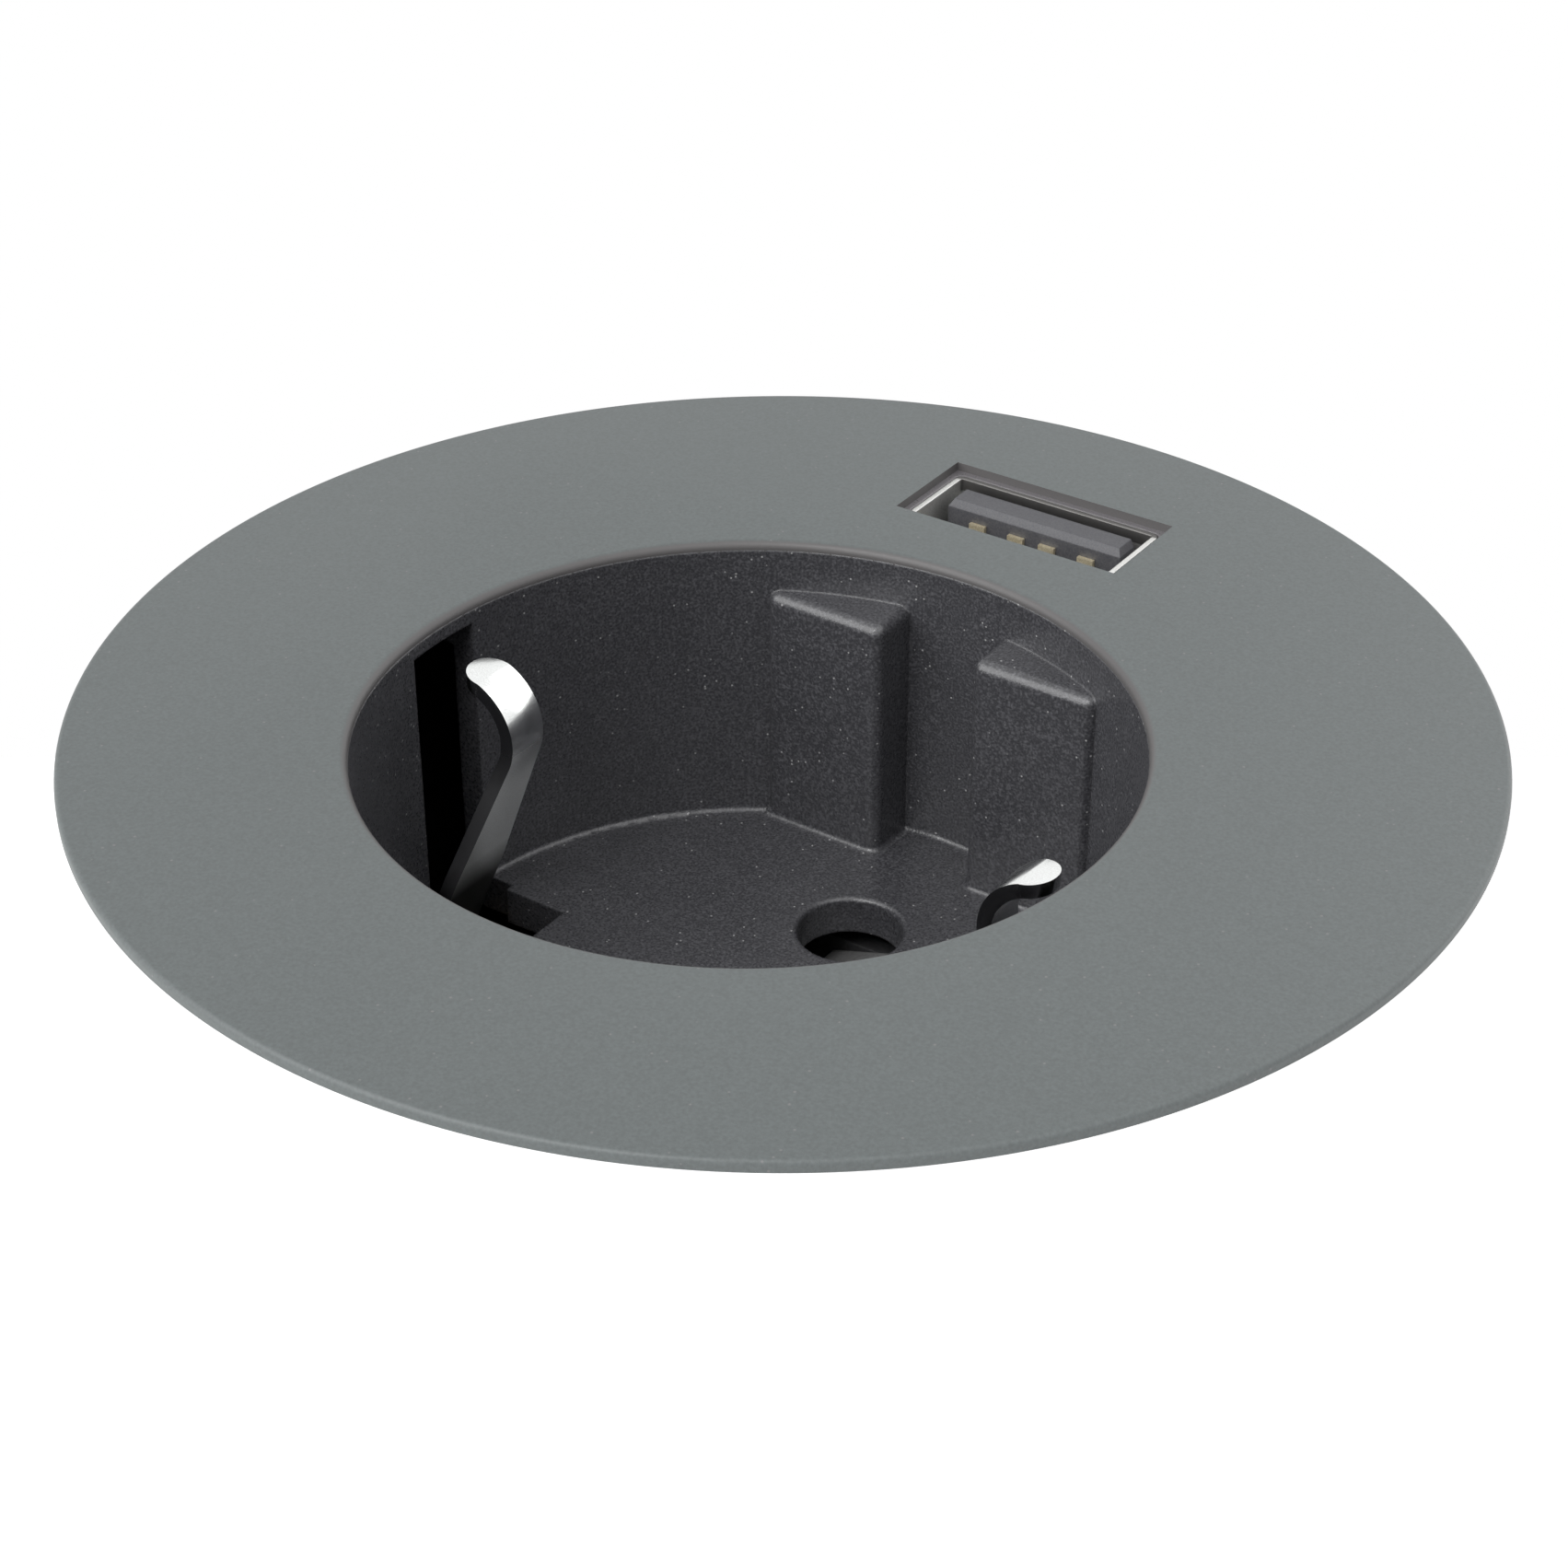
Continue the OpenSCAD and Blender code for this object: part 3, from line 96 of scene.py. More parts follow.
world_links.new(ray_kind.outputs["Is Camera Ray"], seen.inputs[0])
world_links.new(ray_kind.outputs["Is Transmission Ray"], seen.inputs[1])
world_links.new(seen.outputs[0], mirrored.inputs[0])
world_links.new(ray_kind.outputs["Is Glossy Ray"], mirrored.inputs[1])
world_links.new(mirrored.outputs[0], world_mix.inputs[0])
world_links.new(even_light.outputs[0], world_mix.inputs[1])
world_links.new(seen_white.outputs[0], world_mix.inputs[2])
world_links.new(world_mix.outputs[0], world_out.inputs["Surface"])


# Lamps: soft boxes about the desk, a wide one on the left, a small one high in front,
# a weak one near the right of the well and a broad one behind, each aimed at the flange's middle.
def soft_lamp(name, place, power, width):
    """A square lamp aimed at the flange's middle."""
    data = bpy.data.lights.new(name, "AREA")
    data.energy = power
    data.size = width
    lamp = bpy.data.objects.new(name, data)
    scene.collection.objects.link(lamp)
    lamp.location = place
    lamp.rotation_mode = "QUATERNION"
    lamp.rotation_quaternion = (-Vector(place)).normalized().to_track_quat("-Z", "Y")


soft_lamp("wide_lamp", (-0.35, -0.6, 0.45), 6.1, 0.9)
soft_lamp("front_lamp", (0.03, -0.38, 0.42), 0.8, 0.2)
soft_lamp("near_lamp", (0.12, -0.02, 0.18), 0.13, 0.2)
soft_lamp("back_lamp", (0.2, 0.48, 0.25), 1.2, 0.62)


# Desk top: a white sheet around the near half of the flange, as the photograph's ground.
# It shows from above only, so that the body below it is seen from the back and from the side.
def deselect_all():
    bpy.ops.object.select_all(action="DESELECT")


desk_hole_radius = 0.034
desk_reach = 5
desk_drop = 0.00004
desk_starts = 0.004
near_side = Vector((math.sin(camera_azimuth), -math.cos(camera_azimuth), 0))
deselect_all()
bpy.ops.mesh.primitive_circle_add(
    vertices=160, radius=desk_hole_radius, fill_type="NOTHING", location=(0, 0, -desk_drop))
desk = bpy.context.object
desk.name = "desk_top"
bpy.ops.object.mode_set(mode="EDIT")
bpy.ops.mesh.select_all(action="SELECT")
bpy.ops.mesh.extrude_edges_move()
bpy.ops.transform.resize(value=(desk_reach, desk_reach, 1))
bpy.ops.mesh.select_all(action="SELECT")
bpy.ops.mesh.bisect(plane_co=near_side * desk_starts, plane_no=near_side, clear_inner=True)
bpy.ops.mesh.select_all(action="SELECT")
bpy.ops.mesh.normals_make_consistent(inside=False)
bpy.ops.object.mode_set(mode="OBJECT")
bpy.ops.object.transform_apply(location=True, rotation=True, scale=True)
if desk.data.polygons[0].normal.z < 0:
    desk.data.flip_normals()
desk_white = bpy.data.materials.new("desk_white")
desk_white.use_nodes = True
desk_nodes = desk_white.node_tree.nodes
desk_links = desk_white.node_tree.links
desk_nodes.clear()
desk_out = desk_nodes.new("ShaderNodeOutputMaterial")
desk_paint = desk_nodes.new("ShaderNodeBsdfDiffuse")
desk_paint.inputs["Color"].default_value = (0.86, 0.86, 0.86, 1)
desk_glow = desk_nodes.new("ShaderNodeEmission")
desk_glow.inputs["Strength"].default_value = 0.62
glowing_paint = desk_nodes.new("ShaderNodeAddShader")
desk_rays = desk_nodes.new("ShaderNodeLightPath")
seen_or_mirrored = desk_nodes.new("ShaderNodeMath")
seen_or_mirrored.operation = "MAXIMUM"
desk_above = desk_nodes.new("ShaderNodeMixShader")
desk_side = desk_nodes.new("ShaderNodeNewGeometry")
desk_below = desk_nodes.new("ShaderNodeBsdfTransparent")
desk_face = desk_nodes.new("ShaderNodeMixShader")
desk_links.new(desk_paint.outputs[0], glowing_paint.inputs[0])
desk_links.new(desk_glow.outputs[0], glowing_paint.inputs[1])
desk_links.new(desk_rays.outputs["Is Camera Ray"], seen_or_mirrored.inputs[0])
desk_links.new(desk_rays.outputs["Is Glossy Ray"], seen_or_mirrored.inputs[1])
desk_links.new(seen_or_mirrored.outputs[0], desk_above.inputs[0])
desk_links.new(desk_paint.outputs[0], desk_above.inputs[1])
desk_links.new(glowing_paint.outputs[0], desk_above.inputs[2])
desk_links.new(desk_side.outputs["Backfacing"], desk_face.inputs[0])
desk_links.new(desk_above.outputs[0], desk_face.inputs[1])
desk_links.new(desk_below.outputs[0], desk_face.inputs[2])
desk_links.new(desk_face.outputs[0], desk_out.inputs["Surface"])
desk.data.materials.append(desk_white)


# Flange plate: thin pressed sheet with a satin grey-green paint that holds a fine light grain.
# Four studs under it hold it on the moulding; its edge and the lip into the well are rounded.
def ramp(made, value, start, end, low=0.0, high=1.0):
    """A value that goes from low to high as another goes from start to end."""
    step = made.node_tree.nodes.new("ShaderNodeMapRange")
    step.inputs["From Min"].default_value = start
    step.inputs["From Max"].default_value = end
    step.inputs["To Min"].default_value = low
    step.inputs["To Max"].default_value = high
    made.node_tree.links.new(value, step.inputs["Value"])
    return step.outputs[0]


def reckon(made, operation, first, second=None):
    """One step of arithmetic on a socket and a second socket or a number."""
    step = made.node_tree.nodes.new("ShaderNodeMath")
    step.operation = operation
    made.node_tree.links.new(first, step.inputs[0])
    if isinstance(second, float):
        step.inputs[1].default_value = second
    elif second is not None:
        made.node_tree.links.new(second, step.inputs[1])
    return step.outputs[0]


def parts_of(made, kind="Object"):
    """The X, Y and Z of each point of a piece, or of the way its surface faces."""
    place = made.node_tree.nodes.new("ShaderNodeTexCoord")
    parts = made.node_tree.nodes.new("ShaderNodeSeparateXYZ")
    made.node_tree.links.new(place.outputs[kind], parts.inputs[0])
    return parts.outputs


def tint(made, share, colour):
    """Lays another tone over the base colour, by a share."""
    base = made.node_tree.nodes["Principled BSDF"].inputs["Base Color"]
    blend = made.node_tree.nodes.new("ShaderNodeMix")
    blend.data_type = "RGBA"
    blend.inputs[7].default_value = (*colour, 1)
    made.node_tree.links.new(share, blend.inputs[0])
    made.node_tree.links.new(base.links[0].from_socket, blend.inputs[6])
    made.node_tree.links.new(blend.outputs[2], base)


def finish(name, plain, dark, light, grain, relief, roughness, metal=0.0, tones=(0.3, 0.7),
           clouds=0.15, specks=0.0, share=0.05, edge=0.0):
    """A grain between two tones, with a relief, sparse light specks and softened edges."""
    made = bpy.data.materials.new(name)
    made.use_nodes = True
    nodes = made.node_tree.nodes
    links = made.node_tree.links
    shader = nodes["Principled BSDF"]
    shader.inputs["Base Color"].default_value = (*plain, 1)
    shader.inputs["Metallic"].default_value = metal
    place = nodes.new("ShaderNodeTexCoord")
    fine = nodes.new("ShaderNodeTexNoise")
    fine.inputs["Scale"].default_value = 1 / grain
    fine.inputs["Detail"].default_value = 2
    broad = nodes.new("ShaderNodeTexNoise")
    broad.inputs["Scale"].default_value = 0.05 / grain
    broad.inputs["Detail"].default_value = 4
    links.new(place.outputs["Object"], fine.inputs["Vector"])
    links.new(place.outputs["Object"], broad.inputs["Vector"])
    both = nodes.new("ShaderNodeMix")
    both.data_type = "FLOAT"
    both.inputs[0].default_value = clouds
    links.new(fine.outputs["Fac"], both.inputs[2])
    links.new(broad.outputs["Fac"], both.inputs[3])
    tone = nodes.new("ShaderNodeValToRGB")
    for element, position, colour in zip(tone.color_ramp.elements, tones, (dark, light)):
        element.position = position
        element.color = (*colour, 1)
    links.new(both.outputs[0], tone.inputs[0])
    links.new(tone.outputs["Color"], shader.inputs["Base Color"])
    if specks:
        cells = nodes.new("ShaderNodeTexVoronoi")
        cells.inputs["Scale"].default_value = 0.6 / grain
        links.new(place.outputs["Object"], cells.inputs["Vector"])
        few = nodes.new("ShaderNodeSeparateColor")
        links.new(cells.outputs["Color"], few.inputs[0])
        near = ramp(made, cells.outputs["Distance"], 0.3, 0.16)
        chosen = reckon(made, "LESS_THAN", few.outputs[0], share)
        tint(made, reckon(made, "MULTIPLY", near, chosen), (specks, specks, specks))
    links.new(ramp(made, both.outputs[0], 0, 1, *roughness), shader.inputs["Roughness"])
    bump = nodes.new("ShaderNodeBump")
    bump.inputs["Strength"].default_value = 0.6
    bump.inputs["Distance"].default_value = relief
    links.new(fine.outputs["Fac"], bump.inputs["Height"])
    if edge:
        soft = nodes.new("ShaderNodeBevel")
        soft.samples = 6
        soft.inputs["Radius"].default_value = edge
        links.new(soft.outputs["Normal"], bump.inputs["Normal"])
    links.new(bump.outputs["Normal"], shader.inputs["Normal"])
    return made


def dress(made, *names):
    """Gives pieces of the frame their finish."""
    for name in names:
        mesh = node[name].data
        mesh.materials.clear()
        mesh.materials.append(made)


def finished(obj, made, angle=35):
    """Origin at the world's origin, doubles merged, normals out, smooth shading, one material."""
    bpy.context.view_layer.objects.active = obj
    obj.select_set(True)
    bpy.ops.object.transform_apply(location=True, rotation=True, scale=True)
    bpy.ops.object.mode_set(mode="EDIT")
    bpy.ops.mesh.select_all(action="SELECT")
    bpy.ops.mesh.remove_doubles(threshold=0.000002)
    bpy.ops.mesh.normals_make_consistent(inside=False)
    bpy.ops.object.mode_set(mode="OBJECT")
    bpy.ops.object.shade_smooth_by_angle(angle=math.radians(angle))
    obj.data.materials.clear()
    obj.data.materials.append(made)
    return obj


def combine(obj, other, operation):
    """Cuts another shape out of a piece, or joins it on, and removes that shape."""
    bpy.context.view_layer.objects.active = obj
    step = obj.modifiers.new("combine", "BOOLEAN")
    step.operation = operation
    step.solver = "EXACT"
    step.object = other
    bpy.ops.object.modifier_apply(modifier=step.name)
    bpy.data.objects.remove(other)


def pick_edges(obj, wanted):
    """In edit mode, selects only the edges whose two ends both pass the test."""
    bpy.ops.mesh.select_mode(type="EDGE")
    bpy.ops.mesh.select_all(action="DESELECT")
    mesh = bmesh.from_edit_mesh(obj.data)
    for edge in mesh.edges:
        if all(wanted(v.co) for v in edge.verts):
            edge.select = True
    mesh.select_flush_mode()
    bmesh.update_edit_mesh(obj.data)


hair = 0.00001
flange_radius = 0.036
flange_thick = 0.0006
flange_edge_round = 0.00028
well_radius = 0.0198
well_y = -0.003
well_lip_round = 0.00045
window_y = 0.0247
window_length = 0.01394
window_width = 0.00654
stud_ring = 0.0275
stud_radius = 0.0015
stud_height = 0.002
stud_z = -0.0008
stud_angles = (22, 158, 210, 330)
cutter_depth = 0.004
painted_shade_within = 0.035

flange_paint = finish(
    "flange_paint", plain=(0.16, 0.17, 0.17), dark=(0.128, 0.142, 0.142), light=(0.161, 0.18, 0.18),
    grain=0.00017, relief=0.000008, roughness=(0.4, 0.52), clouds=0.05, specks=0.22, share=0.025)
from_middle = flange_paint.node_tree.nodes.new("ShaderNodeVectorMath")
from_middle.operation = "LENGTH"
paint_place = flange_paint.node_tree.nodes.new("ShaderNodeTexCoord")
flange_paint.node_tree.links.new(paint_place.outputs["Object"], from_middle.inputs[0])
# Painted shade: the lip into the well and the window walls, turned away from up, get a darker
# warm-grey tone that stands in for their shade.
painted_shade_facing = ramp(flange_paint, parts_of(flange_paint, "Normal")["Z"], 0.985, 0.8)
inner_part = reckon(flange_paint, "LESS_THAN", from_middle.outputs["Value"], painted_shade_within)
tint(flange_paint, reckon(flange_paint, "MULTIPLY", painted_shade_facing, inner_part), (0.13, 0.125, 0.125))
dress(flange_paint, "trim_plate")

deselect_all()
bpy.ops.mesh.primitive_cylinder_add(
    vertices=288, radius=flange_radius, depth=flange_thick, location=(0, 0, flange_thick / 2))
flange_plate = bpy.context.object
flange_plate.name = "flange_plate"
bpy.ops.mesh.primitive_cylinder_add(
    vertices=240, radius=well_radius, depth=cutter_depth, location=(0, well_y, 0))
combine(flange_plate, bpy.context.object, "DIFFERENCE")
bpy.ops.mesh.primitive_cube_add(size=1, location=(0, window_y, 0))
window_block = bpy.context.object
window_block.scale = (window_length, window_width, cutter_depth)
bpy.ops.object.transform_apply(location=False, rotation=False, scale=True)
combine(flange_plate, window_block, "DIFFERENCE")
bpy.ops.object.mode_set(mode="EDIT")
for centre_y, radius, rounding in (
        (0.0, flange_radius, flange_edge_round), (well_y, well_radius, well_lip_round)):
    pick_edges(flange_plate, lambda at: at.z > flange_thick / 2 - hair and abs(
        math.hypot(at.x, at.y - centre_y) - radius) < hair)
    bpy.ops.mesh.bevel(offset=rounding, segments=8, profile=0.5, affect="EDGES", clamp_overlap=True)
bpy.ops.object.mode_set(mode="OBJECT")
for degrees in stud_angles:
    around = math.radians(degrees)
    deselect_all()
    bpy.ops.mesh.primitive_cylinder_add(
        vertices=32, radius=stud_radius, depth=stud_height,
        location=(stud_ring * math.cos(around), stud_ring * math.sin(around), stud_z))
    combine(flange_plate, bpy.context.object, "UNION")
finished(flange_plate, flange_paint)
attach(flange_plate, "root")
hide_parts("trim_plate")

# Front moulding: deck, well, guide blocks, clip slots and port sleeve in one piece of dark plastic.
# It is moulded with a fine matt texture and softened edges. The narrow ledge between the window
# and the port's shell is painted paler and greyer than the well, a painted light on a ledge that
# lies in shade.
painted_light_ledge_y = 0.0205
painted_light_ledge_z = -0.00008

well_plastic = finish(
    "well_plastic", plain=(0.07, 0.07, 0.075), dark=(0.056, 0.056, 0.062),
    light=(0.15, 0.15, 0.162), grain=0.00014, relief=0.00003, roughness=(0.22, 0.36),
    tones=(0.46, 0.74), clouds=0.08, specks=0.5, share=0.035, edge=0.00022)
well_plastic.node_tree.nodes["Principled BSDF"].inputs["Specular IOR Level"].default_value = 0.75
moulding_part = parts_of(well_plastic)
# Painted light: the ledge behind the well, at the top, is lightened where it would lie in shade.
behind_well = reckon(well_plastic, "GREATER_THAN", moulding_part["Y"], painted_light_ledge_y)
at_the_top = reckon(well_plastic, "GREATER_THAN", moulding_part["Z"], painted_light_ledge_z)
tint(well_plastic, reckon(well_plastic, "MULTIPLY", behind_well, at_the_top), (0.19, 0.18, 0.19))
dress(well_plastic, "front_moulding")

# Earth clips: nickel-plated spring leaves, curled over at the top and swinging about their roots.
# Each is a strip that narrows upwards, with a round free end. Its rolled face is bright, its leaf
# is brushed, its cut edges are dull and its foot carries a painted shadow, darker towards the root.
clip_y = -0.003
clip_root_x = 0.02064
clip_root_z = -0.0196
clip_lean = math.radians(23)
strip_thick = 0.0008
strip_width = 0.0042
strip_top_width = 0.0026
wide_length = 0.005649
narrowing_length = 0.009188
curl_x = 0.01765
curl_z = -0.00475
curl_steps_and_degrees = ((32, 91), (1, 24))
free_end_x = 0.01778
free_end_round = 0.0013
corner_block = (0.0033, 0.006, 0.005)
corner_block_past_end = 0.00036
corner_z = -0.002
strip_edge_round = 0.00007
polished_to_z = -0.0045
brushed_from_z = -0.008
painted_shadow_starts_z = -0.0132
painted_shadow_full_z = -0.0158

spring_steel = finish(
    "spring_steel", plain=(0.8, 0.8, 0.79), dark=(0.82, 0.83, 0.82), light=(0.96, 0.98, 0.97),
    grain=0.00008, relief=0.000004, roughness=(0.1, 0.26), metal=1, clouds=0.1)
clip_height = parts_of(spring_steel)["Z"]
spring_steel.node_tree.links.new(
    ramp(spring_steel, clip_height, polished_to_z, brushed_from_z, 0.2, 0.5),
    spring_steel.node_tree.nodes["Principled BSDF"].inputs["Roughness"])
sideways = reckon(spring_steel, "ABSOLUTE", parts_of(spring_steel, "Normal")["Y"])
tint(spring_steel, ramp(spring_steel, sideways, 0.5, 0.9), (0.36, 0.36, 0.37))
# Painted shadow: the leaf darkens towards its foot, standing in for the shade the lip casts there.
painted_foot_shadow = ramp(spring_steel, clip_height, painted_shadow_starts_z, painted_shadow_full_z, 0, 0.92)
tint(spring_steel, painted_foot_shadow, (0.03, 0.03, 0.03))
dress(spring_steel, "earth_clip_left", "earth_clip_right")


def leaf(name, side):
    """One leaf: extruded up from its root, spun round the curl and cut round at its free end."""
    start = Vector((side * clip_root_x, clip_y, clip_root_z))
    up_leaf = Vector((-side * math.sin(clip_lean), 0, math.cos(clip_lean)))
    deselect_all()
    bpy.ops.mesh.primitive_plane_add(size=1, location=start, rotation=(0, -side * clip_lean, 0))
    made = bpy.context.object
    made.name = name
    made.scale = (strip_thick, strip_width, 1)
    bpy.ops.object.transform_apply(location=True, rotation=True, scale=True)
    bpy.ops.object.mode_set(mode="EDIT")
    bpy.ops.mesh.select_all(action="SELECT")
    for length in (wide_length, narrowing_length):
        bpy.ops.mesh.extrude_region_move(TRANSFORM_OT_translate={"value": up_leaf * length})
    bpy.ops.transform.resize(
        value=(1, strip_top_width / strip_width, 1), center_override=(start.x, clip_y, start.z))
    for steps, degrees in curl_steps_and_degrees:
        bpy.ops.mesh.spin(
            steps=steps, angle=-side * math.radians(degrees),
            center=(side * curl_x, clip_y, curl_z), axis=(0, 1, 0))
    bpy.ops.mesh.select_all(action="SELECT")
    bpy.ops.mesh.normals_make_consistent(inside=False)
    bpy.ops.object.mode_set(mode="OBJECT")
    deselect_all()
    bpy.ops.mesh.primitive_cube_add(
        size=1, location=(side * (free_end_x + corner_block_past_end), clip_y, corner_z))
    corners = bpy.context.object
    corners.scale = corner_block
    bpy.ops.object.transform_apply(location=True, rotation=True, scale=True)
    bpy.ops.mesh.primitive_cylinder_add(
        vertices=96, radius=free_end_round, depth=0.008,
        location=(side * (free_end_x - free_end_round), clip_y, corner_z))
    combine(corners, bpy.context.object, "DIFFERENCE")
    combine(made, corners, "DIFFERENCE")
    soften = made.modifiers.new("soften", "BEVEL")
    soften.width = strip_edge_round
    soften.segments = 2
    soften.limit_method = "ANGLE"
    soften.angle_limit = math.radians(50)
    bpy.ops.object.modifier_apply(modifier="soften")
    return finished(made, spring_steel, 30)


for name, side, body, clip_node in (
        ("leaf_right", 1, "right_clip", "earth_clip_right"),
        ("leaf_left", -1, "left_clip", "earth_clip_left")):
    bent = leaf(name, side)
    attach(bent, body)
    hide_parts(clip_node)

# Charging port: a folded nickel-plated shell round a plastic tongue with four gold contacts.
# A small board lies across its foot, held by two screws on bosses of the moulding.
# The far side of the shell's rim is painted darker than the rest, a painted shade that hides the
# lamps' glint there.
painted_shade_rim_y = (0.02695, 0.02715)
rim_top_z = (-0.0007, -0.0006)

port_steel = finish(
    "port_steel", plain=(0.75, 0.75, 0.73), dark=(0.6, 0.6, 0.58), light=(0.8, 0.8, 0.78),
    grain=0.00008, relief=0.000003, roughness=(0.4, 0.55), metal=1, edge=0.0001)
shell_part = parts_of(port_steel)
painted_shade_far_side = ramp(port_steel, shell_part["Y"], *painted_shade_rim_y)
rim_top = ramp(port_steel, shell_part["Z"], *rim_top_z)
# Painted shade: the top of the rim's far side is darkened to hide the lamps' glint on it.
tint(port_steel, reckon(port_steel, "MULTIPLY", painted_shade_far_side, rim_top), (0.2, 0.195, 0.19))
dress(port_steel, "usb_shell")
tongue_plastic = finish(
    "tongue_plastic", plain=(0.1, 0.1, 0.105), dark=(0.07, 0.07, 0.08), light=(0.118, 0.119, 0.128),
    grain=0.00009, relief=0.000005, roughness=(0.4, 0.55), edge=0.0001)
dress(tongue_plastic, "usb_insulator")
gold_plate = finish(
    "gold_plate", plain=(0.9, 0.8, 0.55), dark=(0.6, 0.48, 0.28), light=(1.0, 0.93, 0.72),
    grain=0.00006, relief=0.000006, roughness=(0.25, 0.5), metal=0.6)
dress(gold_plate, "usb_contacts")
circuit_board = finish(
    "circuit_board", plain=(0.02, 0.1, 0.05), dark=(0.016, 0.08, 0.04), light=(0.03, 0.14, 0.07),
    grain=0.0003, relief=0.00001, roughness=(0.3, 0.45))
dress(circuit_board, "usb_board")

# Contact carrier and contacts: a black moulded carrier under the well holds the brass sockets for
# the pins and the brass bar that both earth clips are riveted to.
carrier_plastic = finish(
    "carrier_plastic", plain=(0.012, 0.012, 0.012), dark=(0.04, 0.04, 0.042),
    light=(0.07, 0.07, 0.072), grain=0.0002, relief=0.00001, roughness=(0.35, 0.5), edge=0.0002)
dress(carrier_plastic, "contact_carrier")
brass = finish(
    "stamped_brass", plain=(0.7, 0.5, 0.2), dark=(0.6, 0.42, 0.15), light=(0.78, 0.58, 0.27),
    grain=0.0002, relief=0.000006, roughness=(0.22, 0.42), metal=1, edge=0.0001)
dress(brass, "line_contact", "neutral_contact", "earth_bar", "earth_rivets")

# Shutter: a smooth plate of dark plastic that closes both pin holes from below.
# It slides in the carrier and is pushed aside by the pins on its ramps.
shutter_plastic = finish(
    "shutter_black", plain=(0.01, 0.01, 0.01), dark=(0.16, 0.16, 0.16), light=(0.26, 0.26, 0.26),
    grain=0.0002, relief=0.000006, roughness=(0.4, 0.55), edge=0.0002)
dress(shutter_plastic, "shutter")

# Washer and screws: zinc-plated steel. The washer bears on the underside of the desk,
# and the screws hold the carrier, leads, boards, housing, cover and cord clamp.
zinc_steel = finish(
    "zinc_steel", plain=(0.6, 0.61, 0.62), dark=(0.5, 0.51, 0.53), light=(0.68, 0.69, 0.69),
    grain=0.0002, relief=0.000006, roughness=(0.28, 0.48), metal=1, edge=0.0002)
dress(zinc_steel, "clamp_washer", "carrier_screws", "terminal_screws", "usb_board_screws",
      "power_board_screws", "housing_screws", "base_screws", "cord_clamp_screws")

# Shutter spring: five turns of 0.4 mm steel wire between the shutter's peg and the carrier's stop.
# It is wound about its own axis and shortens towards the stop as the shutter slides.
wire_radius = 0.0002
coil_radius = 0.0013
spring_turns = 5
spring_from_x = 0.00385
spring_length = 0.00785
spring_z = -0.0209

dress(zinc_steel, "shutter_spring")
deselect_all()
bpy.ops.mesh.primitive_circle_add(
    vertices=14, radius=wire_radius, fill_type="NOTHING", location=(0, well_y, spring_z))
pressed_spring = bpy.context.object
pressed_spring.name = "pressed_spring"
bpy.ops.object.mode_set(mode="EDIT")
bpy.ops.mesh.select_all(action="SELECT")
bpy.ops.transform.translate(value=(spring_from_x, coil_radius, 0))
bpy.ops.object.mode_set(mode="OBJECT")
coils = pressed_spring.modifiers.new("coils", "SCREW")
coils.axis = "X"
coils.angle = spring_turns * math.tau
coils.screw_offset = spring_length
coils.steps = 180
coils.render_steps = 180
coils.use_merge_vertices = False
bpy.ops.object.modifier_apply(modifier="coils")
bpy.ops.object.mode_set(mode="EDIT")
bpy.ops.mesh.select_all(action="SELECT")
bpy.ops.mesh.fill_holes(sides=0)
bpy.ops.object.mode_set(mode="OBJECT")
finished(pressed_spring, zinc_steel, 40)
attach(pressed_spring, "root")
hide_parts("shutter_spring")
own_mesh(pressed_spring)

# Charger: a green board on pillars of the cover, with a ferrite core, its taped winding
# and sleeved capacitors soldered to it.
dress(circuit_board, "power_board")
ferrite = finish(
    "ferrite", plain=(0.02, 0.02, 0.022), dark=(0.014, 0.014, 0.015), light=(0.035, 0.035, 0.037),
    grain=0.0001, relief=0.00001, roughness=(0.5, 0.7))
dress(ferrite, "transformer_core")
winding_tape = finish(
    "winding_tape", plain=(0.55, 0.38, 0.03), dark=(0.48, 0.32, 0.02), light=(0.62, 0.45, 0.05),
    grain=0.0003, relief=0.000008, roughness=(0.22, 0.38))
dress(winding_tape, "transformer_winding")
can_sleeve = finish(
    "can_sleeve", plain=(0.02, 0.022, 0.04), dark=(0.015, 0.018, 0.03), light=(0.028, 0.032, 0.055),
    grain=0.0003, relief=0.000008, roughness=(0.22, 0.38))
dress(can_sleeve, "capacitors")

# Leads and cord inlet: sleeved copper leads from the terminals and the charger, and a grommet
# of black rubber pressed into the cover's inlet.
lead_sleeve = finish(
    "lead_sleeve", plain=(0.1, 0.03, 0.02), dark=(0.08, 0.02, 0.015), light=(0.14, 0.05, 0.03),
    grain=0.0002, relief=0.000008, roughness=(0.34, 0.5))
dress(lead_sleeve, "mains_leads", "usb_leads")
grommet_rubber = finish(
    "grommet_rubber", plain=(0.01, 0.01, 0.01), dark=(0.008, 0.008, 0.008),
    light=(0.015, 0.015, 0.015), grain=0.0002, relief=0.00001, roughness=(0.6, 0.8))
dress(grommet_rubber, "cord_grommet")

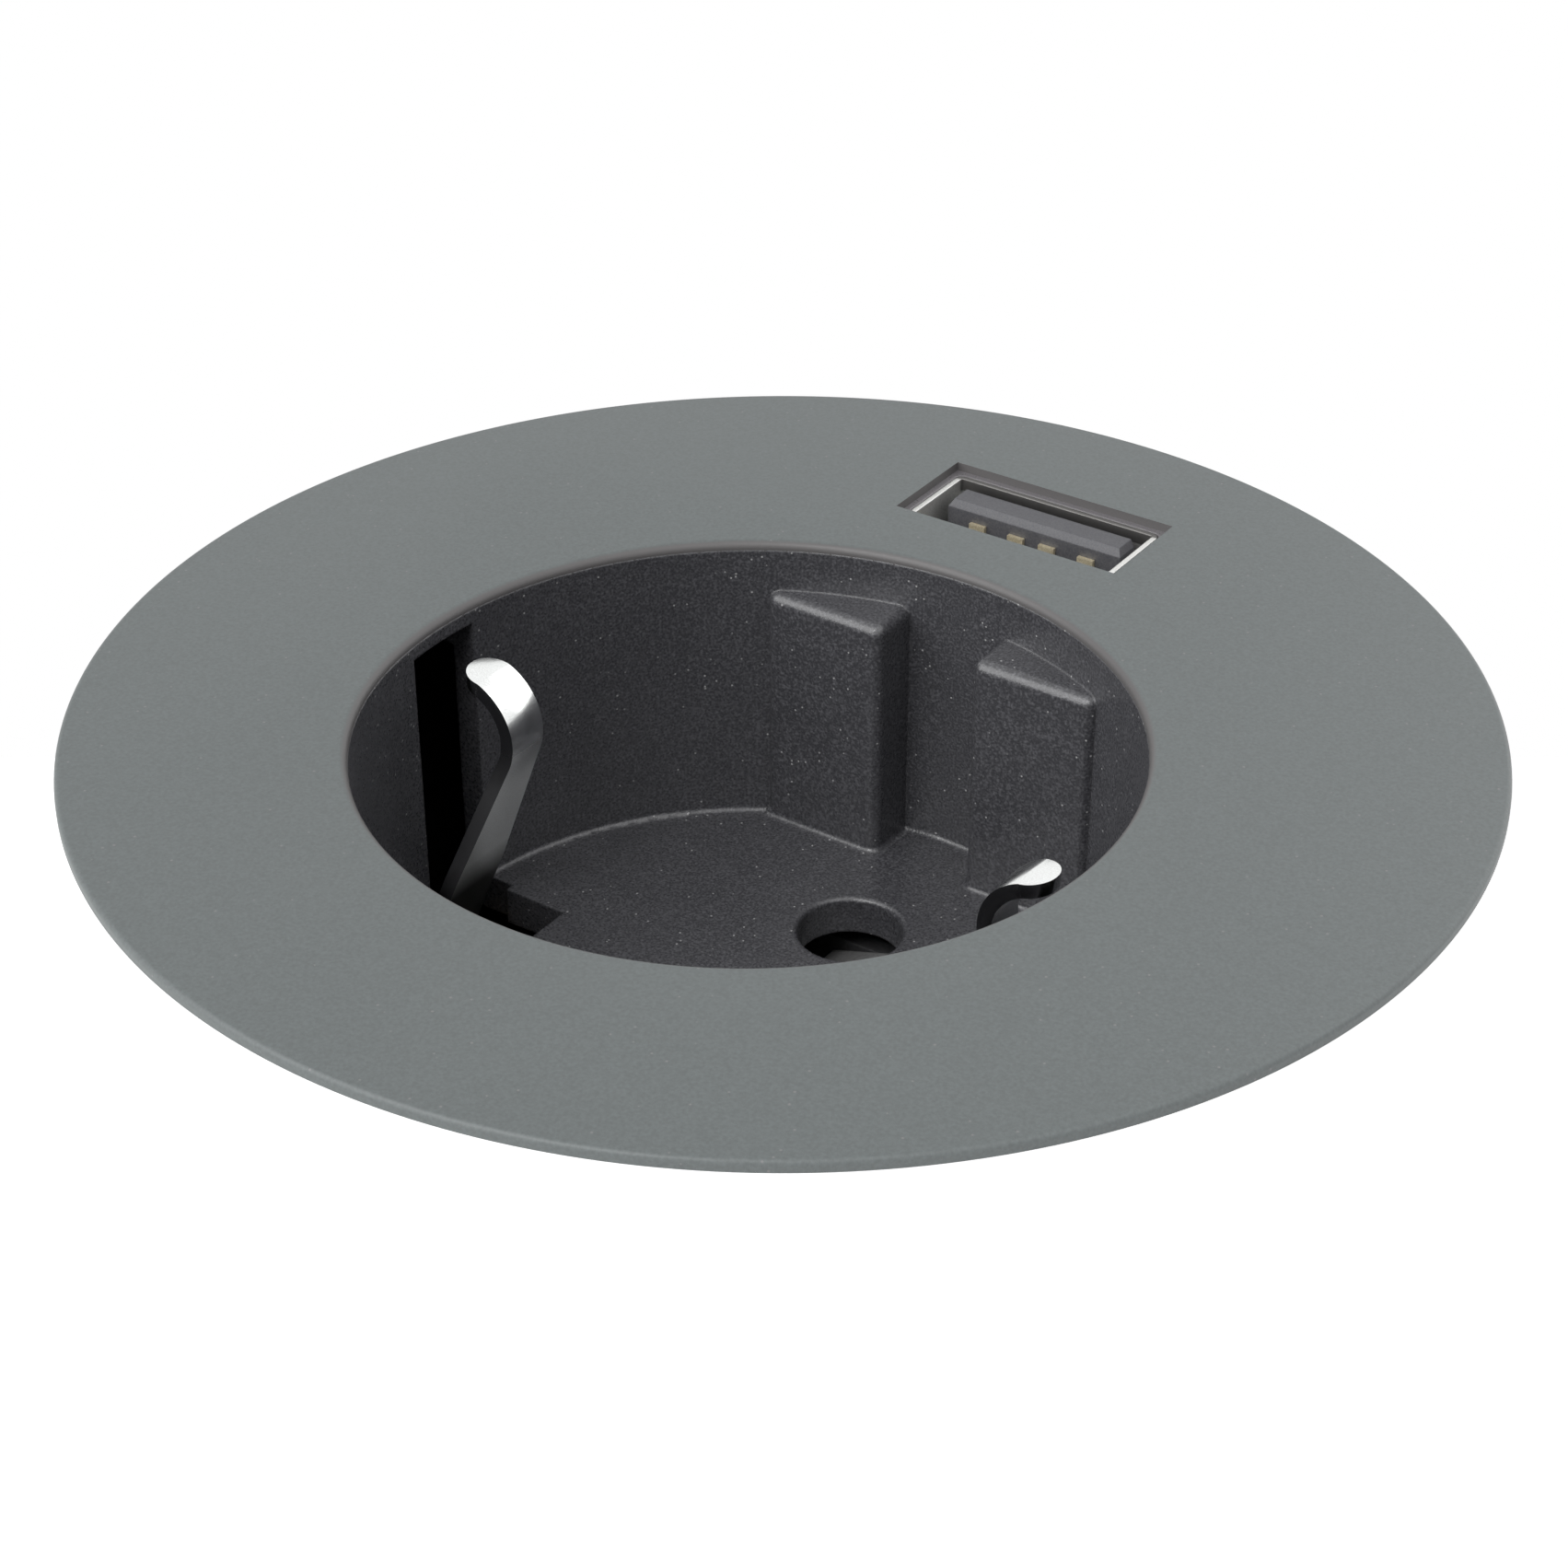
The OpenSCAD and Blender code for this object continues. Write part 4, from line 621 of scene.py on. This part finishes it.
# Body under the desk: a threaded tube of black plastic with its base cover and the ring nut,
# and inside it the terminal block and the cord clamp, all moulded with a fine matt texture.
housing_plastic = finish(
    "housing_plastic", plain=(0.02, 0.02, 0.022), dark=(0.016, 0.016, 0.018),
    light=(0.03, 0.03, 0.032), grain=0.0002, relief=0.000012, roughness=(0.42, 0.6),
    specks=0.06, edge=0.0003)
dress(housing_plastic, "housing", "base_cover", "terminal_block", "cord_clamp", "ring_nut")

# Housing thread: a coarse moulded ridge of 6 mm lead, nearly six turns from the base to the neck.
# It lies over the housing's own ridge, a hair past both its ends, and belongs to the same moulding.
thread_lead = 0.006
thread_degrees = 2125
ridge_x = 0.03115
ridge_z = -0.046
ridge_depth = 0.00158
ridge_foot = 0.0032
crest_share = 0.45
crest_round = 0.00022
past_the_end = 0.00027

deselect_all()
bpy.ops.mesh.primitive_plane_add(
    size=1, location=(ridge_x, -past_the_end, ridge_z), rotation=(math.radians(90), 0, 0))
housing_thread = bpy.context.object
housing_thread.name = "housing_thread"
housing_thread.scale = (ridge_depth, ridge_foot, 1)
bpy.ops.object.transform_apply(location=True, rotation=True, scale=True)
bpy.ops.object.mode_set(mode="EDIT")
pick_edges(housing_thread, lambda at: at.x > ridge_x)
bpy.ops.transform.resize(value=(1, 1, crest_share), center_override=(ridge_x, 0, ridge_z))
bpy.ops.mesh.bevel(offset=crest_round, segments=4, affect="VERTICES")
bpy.ops.object.mode_set(mode="OBJECT")
winding = housing_thread.modifiers.new("winding", "SCREW")
winding.axis = "Z"
winding.angle = math.radians(thread_degrees)
winding.screw_offset = thread_lead * thread_degrees / 360
winding.steps = 640
winding.render_steps = 640
winding.use_merge_vertices = False
bpy.ops.object.modifier_apply(modifier="winding")
bpy.ops.object.mode_set(mode="EDIT")
bpy.ops.mesh.select_all(action="SELECT")
bpy.ops.mesh.remove_doubles(threshold=0.000002)
bpy.ops.mesh.fill_holes(sides=0)
bpy.ops.object.mode_set(mode="OBJECT")
finished(housing_thread, housing_plastic, 40)
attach(housing_thread, "root")
